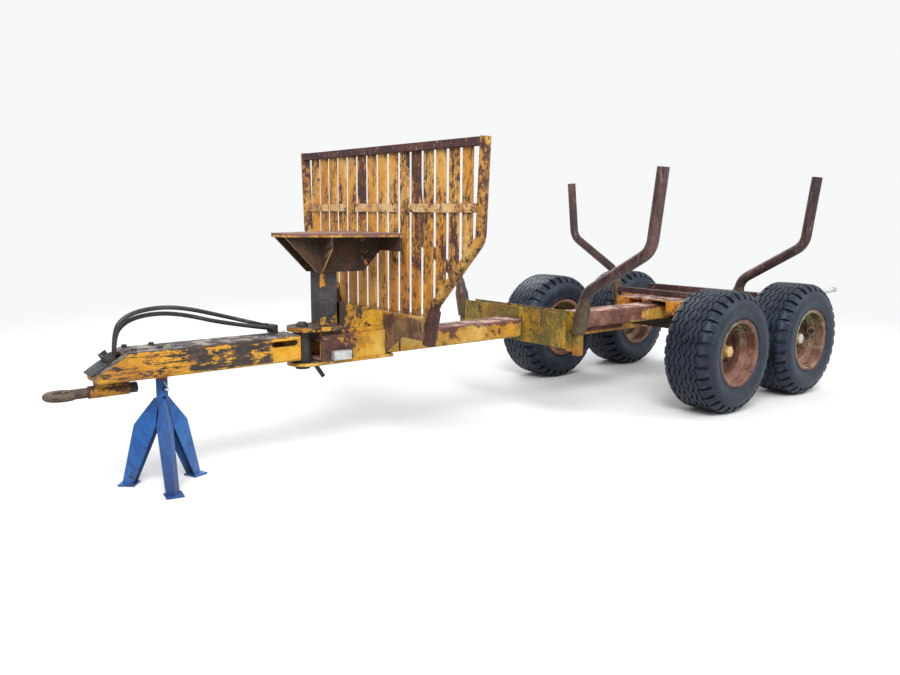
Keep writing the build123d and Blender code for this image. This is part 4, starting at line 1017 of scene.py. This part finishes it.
@dataclass
class TyreTread:
    """One tyre with wavy ribs and deep blocks over its shoulders."""

    radius: float = 0.425
    crown_drop: float = 0.0035
    half_tread: float = 0.129
    pitches: int = 32
    groove: float = 0.0056
    pinch: float = 0.0030
    depth: float = 0.010
    wave: float = 0.0085
    slot_depth: float = 0.026
    slot_middle: float = 0.24
    slot_wall: float = 0.035
    lip: float = 0.0012
    edge_inset: float = 0.006
    # Where the slots begin to turn from the tread to the wall, and over what distance they turn.
    bend: float = 0.125
    bend_run: float = 0.05
    # On the wall: the share of their depth that goes off the inward cut, and the share cut sideways.
    bend_shares: Pair = (0.45, 0.75)
    rib_lines: tuple[float, ...] = (-0.100, -0.060, -0.020, 0.020, 0.060, 0.100)
    # Radius, distance from the middle, and the shoulder slots' share of depth and half width.
    shoulder: tuple[tuple[float, float, float, float], ...] = (
        (0.4215, 0.1265, 0.80, 0.12), (0.4180, 0.1350, 0.95, 0.15), (0.4110, 0.1455, 1.00, 0.17),
        (0.4020, 0.1560, 1.00, 0.19), (0.3920, 0.1655, 0.92, 0.20), (0.3830, 0.1722, 0.70, 0.21),
        (0.3770, 0.1748, 0.50, 0.21), (0.3745, 0.1716, 0.10, 0.19), (0.3660, 0.1752, 0.00, 0.19),
    )
    # Radius and distance from the middle down the sidewall and the rim's flange.
    wall: tuple[Pair, ...] = (
        (0.3520, 0.1815), (0.3380, 0.1860), (0.3180, 0.1880), (0.2980, 0.1870), (0.2760, 0.1830), (0.2600, 0.1790),
        (0.2570, 0.1815), (0.2490, 0.1805), (0.2460, 0.1760), (0.2360, 0.1690), (0.2330, 0.1637), (0.2165, 0.1637),
    )

    def crown(self, y: float) -> float:
        """Returns the tread's radius at a distance from its middle."""
        return self.radius - self.crown_drop * (y / self.half_tread) ** 2

    def sway(self, phase: float) -> float:
        """Follows the ribs' wave.

        Args:
            phase: place along one pitch, from 0 to 1.

        Returns:
            How far the ribs lean sideways there.
        """
        corners = [(0.0, -1.0), (0.08, -1.0), (0.42, 1.0), (0.56, 1.0), (0.94, -1.0), (1.0, -1.0)]
        for (a, va), (b, vb) in zip(corners, corners[1:]):
            if phase <= b:
                return self.wave * (va + (vb - va) * (phase - a) / (b - a))
        return -self.wave

    def gap(self, phase: float) -> float:
        """Returns how much a groove's half width closes at a phase of one pitch."""
        return self.pinch * (1.0 if phase > 0.5 or phase < 0.04 else 0.0)

    def columns(self) -> list[tuple[float, float, float, float, float, float]]:
        """Returns the section's points from one rim flange to the other.

        Returns:
            For each: radius, Y, share of sway, depth and half width of the slots, and side of a groove.
        """
        edge, depth = self.half_tread - self.edge_inset, self.slot_depth
        outside = [(r, y, 0.0, share * depth, width, 0.0) for r, y, share, width in self.shoulder]
        outside += [(r, y, 0.0, 0.0, 0.10, 0.0) for r, y in self.wall]
        outside.insert(0, (self.crown(edge), edge, 0.3, depth * 0.7, 0.10, 0.0))
        rows = [(r, -y, *rest) for r, y, *rest in reversed(outside)]
        for line in self.rib_lines:
            top, cut = self.crown(line), depth * 0.5 if line in (self.rib_lines[0], self.rib_lines[-1]) else 0.0
            first, last = (cut, 0.0) if line < 0 else (0.0, cut)
            half, lip = self.groove, self.groove + self.lip
            rows.append((top, line - lip, 1.0, first, 0.08, -1.0))
            rows.append((top - self.depth, line - half, 1.0, 0.0, 0.08, -1.0))
            rows.append((top - self.depth, line + half, 1.0, 0.0, 0.08, 1.0))
            rows.append((top, line + lip, 1.0, last, 0.08, 1.0))
            if line < self.rib_lines[-1]:
                rows.append((self.crown(line + 0.02), line + 0.02, 1.0, 0.0, 0.08, 0.0))
        return rows + outside

    def knots(self, width: float) -> list[tuple[float, bool]]:
        """Spaces the rings of one pitch.

        Args:
            width: a slot's half width.

        Returns:
            The rings' phases, and whether each lies in the slot.
        """
        start, end = self.slot_middle - width, self.slot_middle + width
        inside = [(start + self.slot_wall, True), (end - self.slot_wall, True)]
        return [(0.0, False), (start, False), *inside, *((p, False) for p in (end, 0.49, 0.56, 0.66, 0.80, 0.94))]

    def build(self, name: str, place: Point) -> Piece:
        """Builds the tyre.

        Args:
            name: the piece's name.
            place: the wheel's centre.

        Returns:
            The tyre as an object.
        """
        mesh = bmesh.new()
        columns = self.columns()
        inward, sideways = self.bend_shares
        rings = []
        for pitch in range(self.pitches):
            for knot in range(len(self.knots(0.1))):
                ring = []
                for radius, y, share, cut, width, groove in columns:
                    phase, inside = self.knots(width)[knot]
                    # The two shoulders' slots stand half a pitch apart.
                    turn = math.tau * (pitch + phase + (0.5 if y < 0 else 0.0)) / self.pitches
                    depth = cut if inside else 0.0
                    # Slots sink inwards on the tread and sideways on the wall.
                    steep = min(max((abs(y) - self.bend) / self.bend_run, 0.0), 1.0)
                    r = radius - depth * (1.0 - inward * steep)
                    across = y - math.copysign(depth * sideways * steep, y)
                    across += self.sway(phase) * share - groove * self.gap(phase)
                    ring.append(mesh.verts.new((r * math.cos(turn), across, r * math.sin(turn))))
                rings.append(ring)
        for first, second in zip(rings, rings[1:] + rings[:1]):
            for i in range(len(columns)):
                j = (i + 1) % len(columns)
                mesh.faces.new((first[i], first[j], second[j], second[i]))
        return new_piece(name, mesh, place, smooth=30.0)


@dataclass(frozen=True)
class Row:
    """What tells one row of wheels from the other."""

    station: float
    valve_turn: float
    hub: Colour
    cap: Colour
    spared: float


@dataclass
class Wheels:
    """Four tyres on their rims, with nuts, hub caps and valve pipes."""

    track: float = 0.809
    height: float = 0.425
    nut_circle: float = 0.105
    nut_count: int = 6
    # Width and height of the nuts and of the hub's cap, and the profile of the studs.
    nut: Pair = (0.027, 0.020)
    cap: Pair = (0.070, 0.016)
    stud: tuple[Pair, ...] = ((0, 0), (0.009, 0), (0.009, 0.030), (0.007, 0.033), (0, 0.033))
    disc_face: float = 0.011
    hub_face: float = 0.083
    # Out from the wheel's middle and across it: the valve pipe's foot, and the way it leans.
    foot: Pair = (0.190, 0.060)
    lean: Pair = (-0.75, 0.66)
    # Slot and profile, as radius and height, of the pipe and its plug.
    valve: dict[str, tuple[Slot, tuple[Pair, ...]]] = field(
        default_factory=lambda: {
            "pipe": (
                Slot.RIM,
                ((0, 0), (0.030, 0), (0.030, 0.062), (0.026, 0.064), (0.024, 0.058), (0.024, 0.040), (0, 0.040)),
            ),
            "plug": (
                Slot.TYRE,
                (
                    (0, 0.041), (0.0232, 0.041), (0.0232, 0.060), (0.019, 0.064),
                    (0.008, 0.064), (0.007, 0.056), (0, 0.056),
                ),
            ),
        }
    )
    rows: dict[str, Row] = field(
        default_factory=lambda: {
            "front": Row(4.152, 75.0, (0.62, 0.38, 0.13), (0.76, 0.50, 0.22), 0.12),
            "rear": Row(5.137, 20.0, (0.46, 0.29, 0.11), (0.64, 0.60, 0.52), 0.27),
        }
    )

    def trim(self, name: str, centre: Point, side: Side) -> Piece:
        """Builds the nuts on their studs and the hexagon cap of one wheel.

        Args:
            name: the piece's name.
            centre: the wheel's centre.
            side: the side of the trailer that the wheel is on.

        Returns:
            The new object.
        """
        mesh = bmesh.new()
        way = (0.0, float(side), 0.0)
        for i in range(self.nut_count):
            turn = math.tau * (i + 0.3) / self.nut_count
            x, z = self.nut_circle * math.cos(turn), self.nut_circle * math.sin(turn)
            spot = facing((x, side * self.disc_face, z), way)
            hexagon(mesh, spot, *self.nut)
            turned(mesh, self.stud, spot, 12)
        hexagon(mesh, facing((0.0, side * self.hub_face, 0.0), way), *self.cap)
        return new_piece(name, mesh, centre)

    def valve_stub(self, wheel: str, centre: Point, turn: float, side: Side, finishes: dict[str, Material]) -> None:
        """Builds the pipe round a valve, which leans out of the rim towards the hub, and its plug.

        Args:
            wheel: the wheel's name.
            centre: its centre.
            turn: where on the rim the pipe stands, in degrees.
            side: the side of the trailer that the wheel is on.
            finishes: the finishes of the pipe and the plug.
        """
        out = Vector((math.cos(math.radians(turn)), 0.0, math.sin(math.radians(turn))))
        foot, lean = (inwards * out + Vector((0.0, across * side, 0.0)) for inwards, across in (self.foot, self.lean))
        for name, (slot, profile) in self.valve.items():
            mesh = bmesh.new()
            turned(mesh, profile, facing(foot, lean), 24)
            settle(new_piece(f"valve_{name}_{wheel}", mesh, centre), f"wheel_{wheel}", slot, finishes[name])

    def build(self) -> None:
        """Builds and dresses all four wheels."""
        rubber = TyreRubber().build()
        black = ((0.004, 0.004, 0.005), (0.009, 0.009, 0.010), (0.020, 0.020, 0.020))
        rusty = ((0.14, 0.065, 0.045), (0.36, 0.19, 0.135), (0.55, 0.33, 0.24))
        plug, pipe = BareSteel("plug_rubber", *black, 0.6).build(), BareSteel("stub_steel", *rusty, 0.8).build()
        for name, row in self.rows.items():
            for side in Side:
                wheel = f"{name}_{side.name.lower()}"
                centre = (at(row.station), side * self.track, self.height)
                tyre = TyreTread().build(f"tread_{wheel}", centre)
                settle(tyre, f"wheel_{wheel}", Slot.TYRE, rubber)
                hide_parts(f"tyre_{wheel}")
                dress({f"rim_{wheel}": WheelPaint(f"rim_paint_{wheel}", centre, row.hub, row.spared).build()})
                paint = WheelPaint(f"trim_paint_{wheel}", ORIGIN, row.cap).build()
                settle(self.trim(f"trim_{wheel}", centre, side), f"wheel_{wheel}", Slot.RIM, paint)
                self.valve_stub(wheel, centre, row.valve_turn, side, {"pipe": pipe, "plug": plug})


@dataclass
class Drawbar:
    """The drawbar with its eye and stand, its hoses, the bolts on its nose, the pin's ring, and dark discs of painted
    shade for the pin's holes.
    """

    finishes: Finishes = field(default_factory=lambda: DRAWBAR_FINISHES)
    hose_width: float = 0.022
    # A hose cuts its control points' corners, so it is a little shorter than the line through them.
    hose_cut: float = 0.985
    # Station, Y and Z of each control point.
    routes: dict[str, tuple[Point, ...]] = field(
        default_factory=lambda: {
            "hose_upper": (
                (0.316, -0.018, 0.640), (0.316, -0.018, 0.796), (0.374, -0.013, 0.868), (0.500, 0.000, 0.897),
                (0.660, 0.024, 0.889), (0.900, 0.070, 0.822), (1.150, 0.092, 0.748),
            ),
            "hose_lower": (
                (0.326, 0.018, 0.640), (0.326, 0.018, 0.766), (0.384, 0.022, 0.838), (0.506, 0.032, 0.866),
                (0.668, 0.052, 0.853), (0.904, 0.058, 0.782), (1.150, 0.052, 0.738),
            ),
        }
    )
    nose_top: float = 0.707
    bolts: tuple[Pair, ...] = ((0.392, 0.070), (0.520, 0.062))
    # Radius and height of their washers, width and height of their heads.
    washer: Pair = (0.016, 0.003)
    head: Pair = (0.024, 0.010)
    tube_radius: float = 0.028
    pin: Point = (0.541, -0.046, 0.498)
    # Height and radius of the holes in the stand's tube.
    holes: tuple[Pair, ...] = ((0.498, 0.0115), (0.453, 0.0085))

    def hose(self, name: str, route: Sequence[Point], rubber: Material) -> None:
        """Builds one hose as a smooth curve along its route.

        Args:
            name: the hose's name, which is also its CAD node.
            route: control points: station, Y and Z.
            rubber: its finish.
        """
        points = [Vector((at(station), y, z)) for station, y, z in route]
        curve = bpy.data.curves.new(name + "_line", "CURVE")
        curve.dimensions = "3D"
        curve.bevel_depth = self.hose_width / 2
        curve.bevel_resolution = 6
        curve.resolution_u = 16
        curve.use_fill_caps = True
        line = curve.splines.new("NURBS")
        line.points.add(len(points) - 1)
        for knot, point in zip(line.points, points):
            knot.co = (*point, 1.0)
        line.order_u = 3
        line.use_endpoint_u = True
        piece = linked(name + "_line", curve)
        settle(piece, Body.DRAWBAR.value, Slot.HOSE, rubber)
        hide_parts(name)

    def pin_ring(self, zinc: Material) -> None:
        """Builds the ring that hangs on the stand's pin, as a thick and a thin wire.

        Args:
            zinc: its finish.
        """
        station, y, z = self.pin
        spots = {
            0.0050: ((0.0, 0.004, 0.0), (0.003, -0.006, -0.001), (0.012, -0.012, -0.003)),
            0.0026: ((0.012, -0.012, -0.002), (0.014, -0.008, 0.006), (0.005, 0.010, 0.024), (0.0, 0.0175, 0.037)),
        }
        ring = bmesh.new()
        for radius, path in spots.items():
            wire(ring, [(at(station) + dx, y + dy, z + dz) for dx, dy, dz in path], radius)
        settle(new_piece("stand_pin_ring", ring), Body.DRAWBAR.value, Slot.ZINC, zinc)

    def pin_hole_shades(self, dark: Material) -> None:
        """Builds dark discs on the stand's tube, bent to its round: painted shade where the pin's holes are.

        Args:
            dark: their finish.
        """
        holes, x = bmesh.new(), at(self.pin[0])
        for side in Side:
            for height, radius in self.holes:
                spot = facing((x, side * self.tube_radius, height), (0.0, float(side), 0.0))
                profile = [(0, -0.003), (radius, -0.003), (radius, 0.0006), (radius / 2, 0.0006), (0, 0.0006)]
                turned(holes, profile, spot, 24)
        for corner in holes.verts:
            sag = self.tube_radius - math.sqrt(self.tube_radius**2 - (corner.co.x - x) ** 2)
            corner.co.y -= math.copysign(sag, corner.co.y)
        settle(new_piece("stand_hole_shades", holes), Body.DRAWBAR.value, Slot.DARK, dark)

    def nose_bolts(self, metal: Material) -> None:
        """Builds the four bolt heads on their washers on top of the drawbar's nose.

        Args:
            metal: their finish.
        """
        mesh = bmesh.new()
        width, thick = self.washer
        for station, reach in self.bolts:
            for side in Side:
                spot = facing((at(station), side * reach, self.nose_top), (0.0, 0.0, 1.0))
                turned(mesh, [(0, 0), (width, 0), (width, thick), (0, thick)], spot, 20)
                hexagon(mesh, spot @ Matrix.Translation((0, 0, thick)), *self.head)
        settle(new_piece("nose_bolts", mesh), Body.DRAWBAR.value, Slot.DARK, metal)

    def build(self) -> None:
        """Dresses the CAD nodes and builds the bolts, the pin's ring, the painted shade of its holes, and the hoses.
        """
        dress_all(self.finishes)
        self.nose_bolts(bpy.data.materials["barrel_steel"])
        # Near-black finish for the discs of painted shade in the pin's holes.
        hole_shade = BareSteel("hole_shade_disc", (0.002, 0.002, 0.003), (0.003, 0.003, 0.005), (0.006, 0.006, 0.010), 0.9)
        self.pin_ring(Zinc("ring_zinc").build())
        self.pin_hole_shades(hole_shade.build())
        rubber = HoseRubber().build()
        for name, route in self.routes.items():
            self.hose(name, route, rubber)


@dataclass
class Welds:
    """Rippled beads where plates meet."""

    radius: float = 0.0045
    pitch: float = 0.006
    sides: int = 7
    column: Pair = (1.413, 1.523)
    column_half: float = 0.055
    column_foot: float = 0.740
    beam_half: float = 0.0905
    beam_top: float = 0.6655
    top_half: float = 0.080
    wall_heights: Pair = (0.552, 0.660)
    ripple: Pair = (-0.10, 0.16)
    # Stations of the beads round the beam, then front, rear and height of those along it.
    across: tuple[float, ...] = (2.928, 3.038, 4.688, 4.798, 1.871 - 0.055, 1.871 + 0.055)
    along: tuple[Point, ...] = ((1.530, 1.860, 0.548), (4.402, 4.652, 0.6655))

    def bead(self, mesh: Mesh, path: Sequence[Point]) -> None:
        """Adds one bead along a path of straight runs, rippled like a weld.

        Args:
            mesh: what it is added to.
            path: the ends of the runs.
        """
        for start, end in zip(path, path[1:]):
            a, b = Vector(start), Vector(end)
            count = max(2, round((b - a).length / self.pitch))
            turn = (b - a).to_track_quat("Z", "Y").to_matrix()
            rings = []
            for i in range(count + 1):
                middle = a.lerp(b, i / count)
                swell = self.radius * (1.0 + self.ripple[i % 2] + 0.10 * math.sin(i * 1.7))
                turns = [math.tau * k / self.sides for k in range(self.sides)]
                spokes = [Vector((math.cos(t), math.sin(t), 0.0)) * swell for t in turns]
                rings.append([mesh.verts.new(middle + turn @ spoke) for spoke in spokes])
            for low, high in zip(rings, rings[1:]):
                for k in range(self.sides):
                    j = (k + 1) % self.sides
                    mesh.faces.new((low[k], low[j], high[j], high[k]))
            mesh.faces.new(rings[0][::-1])
            mesh.faces.new(rings[-1])

    def build(self) -> None:
        """Builds the beads round the column's foot and along the beam's head, bolsters and saddle."""
        chassis = bmesh.new()
        (a, b), half, foot = map(at, self.column), self.column_half, self.column_foot
        self.bead(chassis, [(a, -half, foot), (b, -half, foot), (b, half, foot), (a, half, foot), (a, -half, foot)])
        wall, top = self.beam_half, self.beam_top
        for x in map(at, self.across):
            for side in Side:
                self.bead(chassis, [(x, side * wall, height) for height in self.wall_heights])
            self.bead(chassis, [(x, -self.top_half, top), (x, self.top_half, top)])
        for side in Side:
            for front, rear, height in self.along:
                self.bead(chassis, [(at(front), side * wall, height), (at(rear), side * wall, height)])
        paint = BareSteel("weld_steel", (0.035, 0.018, 0.015), (0.13, 0.060, 0.03), (0.34, 0.17, 0.05), 0.7).build()
        settle(new_piece("chassis_welds", chassis, smooth=60.0), Body.CHASSIS.value, Slot.RUST, paint)


@dataclass
class Studio:
    """A pale floor, soft light and the camera at the photograph's angle."""

    eye: Point = (-4.023, -3.922, 1.368)
    yaw: float = 0.691
    pitch: float = 0.154
    roll: float = 0.008
    focal: float = 809.7
    frame_width: float = 900.0
    sensor: float = 36.0
    lamp_size: float = 5.0
    # Name, place, aim and watts.
    lamps: tuple[tuple[str, Point, Point, float], ...] = (
        ("key", (-5.0, -5.5, 7.5), (-0.3, 0.0, 0.6), 820.0),
        ("fill", (5.0, -6.5, 5.0), (0.5, 0.0, 0.5), 220.0),
        ("back", (3.0, 7.0, 6.0), (0.0, 0.0, 0.8), 260.0),
    )
    floor_size: float = 60.0
    floor_fade: Pair = (3.6, 8.5)

    def camera(self) -> None:
        """Places the camera."""
        level = Vector((math.sin(self.yaw), math.cos(self.yaw), 0.0)) * math.cos(self.pitch)
        ahead = level - Vector((0.0, 0.0, math.sin(self.pitch)))
        right = Vector((math.cos(self.yaw), -math.sin(self.yaw), 0.0))
        up = right.cross(ahead)
        tilted = right * math.cos(self.roll) + up * math.sin(self.roll)
        upright = up * math.cos(self.roll) - right * math.sin(self.roll)
        data = bpy.data.cameras.new("view")
        data.sensor_width = self.sensor
        data.sensor_fit = "HORIZONTAL"
        data.lens = self.focal / self.frame_width * self.sensor
        camera = linked("view", data)
        turn = Matrix((tilted, upright, -ahead)).transposed().to_4x4()
        camera.matrix_world = Matrix.Translation(self.eye) @ turn
        bpy.context.scene.camera = camera

    def lamp(self, name: str, place: Point, aim: Point, power: float) -> None:
        """Adds one large soft lamp.

        Args:
            name: its name.
            place: where it stands.
            aim: what it shines at.
            power: its watts.
        """
        data = bpy.data.lights.new(name, "AREA")
        data.shape = "DISK"
        data.size = self.lamp_size
        data.energy = power
        lamp = linked(name, data)
        lamp.location = place
        lamp.rotation_euler = (Vector(aim) - Vector(place)).to_track_quat("-Z", "Y").to_euler()

    @staticmethod
    def seen(g: Graph) -> Socket:
        """Returns 1 for rays of the camera and of reflections, and 0 for rays that only light."""
        path = g.node("LightPath")
        return g.math("MAXIMUM", path.outputs["Is Camera Ray"], path.outputs["Is Glossy Ray"])

    def world(self) -> None:
        """Sets an even grey-white sky that shows white to the camera and in reflections."""
        world = bpy.data.worlds.new("sky")
        world.use_nodes = True
        g = Graph(world.node_tree)
        height = g.node("SeparateXYZ", Vector=g.node("TexCoord").outputs["Generated"]).outputs["Z"]
        sky = g.ramp(height, (0.0, (0.42, 0.44, 0.48)), (0.85, (0.95, 0.98, 1.0)))
        light = g.node("Background", Color=sky).outputs[0]
        shown = g.node("Background", Color=BACKDROP).outputs[0]
        g.node("OutputWorld", Surface=self.either(g, self.seen(g), light, shown))
        bpy.context.scene.world = world

    @staticmethod
    def either(g: Graph, share: Socket, first: Socket, second: Socket) -> Socket:
        """Mixes two shaders.

        Args:
            g: the material's or world's nodes.
            share: how much of the second shows.
            first: the first shader.
            second: the second shader.

        Returns:
            The mixed shader.
        """
        node = g.node("MixShader")
        for socket, value in zip(node.inputs, (share, first, second)):
            g.put(socket, value)
        return node.outputs[0]

    def floor(self) -> None:
        """Lays a wide pale floor that fades into the backdrop."""
        mesh = bmesh.new()
        bmesh.ops.create_grid(mesh, x_segments=2, y_segments=2, size=self.floor_size)
        data = bpy.data.meshes.new("floor")
        mesh.to_mesh(data)
        mesh.free()
        g = Surface("floor_paper")
        seen = self.seen(g)
        paper = g.ramp(g.noise(0.6, 4.0, 0.5), (0.3, (0.80, 0.80, 0.795)), (0.7, (0.83, 0.83, 0.825)))
        g.finish(g.mix(seen, (0.24, 0.245, 0.21), paper), [(1.0, 0.9)], Specular_IOR_Level=0.1)
        far = g.node("VectorMath")
        far.operation = "LENGTH"
        g.put(far.inputs[0], g.coords)
        glow = g.node("Emission", Color=BACKDROP, Strength=seen).outputs[0]
        faded = self.either(g, g.step(far.outputs["Value"], *self.floor_fade), g.shader.outputs[0], glow)
        g.put(g.output.inputs[0], faded)
        data.materials.append(g.material)
        linked("floor", data)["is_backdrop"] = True

    def build(self) -> None:
        """Sets up the whole studio."""
        bpy.context.scene.view_settings.view_transform = "Standard"
        self.camera()
        self.world()
        self.floor()
        for lamp in self.lamps:
            self.lamp(*lamp)


def corners(box: tuple) -> list[list[float]]:
    """Returns a box as plain lists of numbers."""
    return [[float(v) for v in corner] for corner in box]


def main() -> None:
    """Builds and dresses the trailer."""
    logging.basicConfig(level=logging.INFO, format="%(message)s")
    solid = corners(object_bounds())
    for part in (Studio(), Chassis(), Pedestal(), Drawbar(), Wheels(), Welds()):
        part.build()
    {"cad": solid, "visual": corners(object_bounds())}


if __name__ == "__main__":
    main()
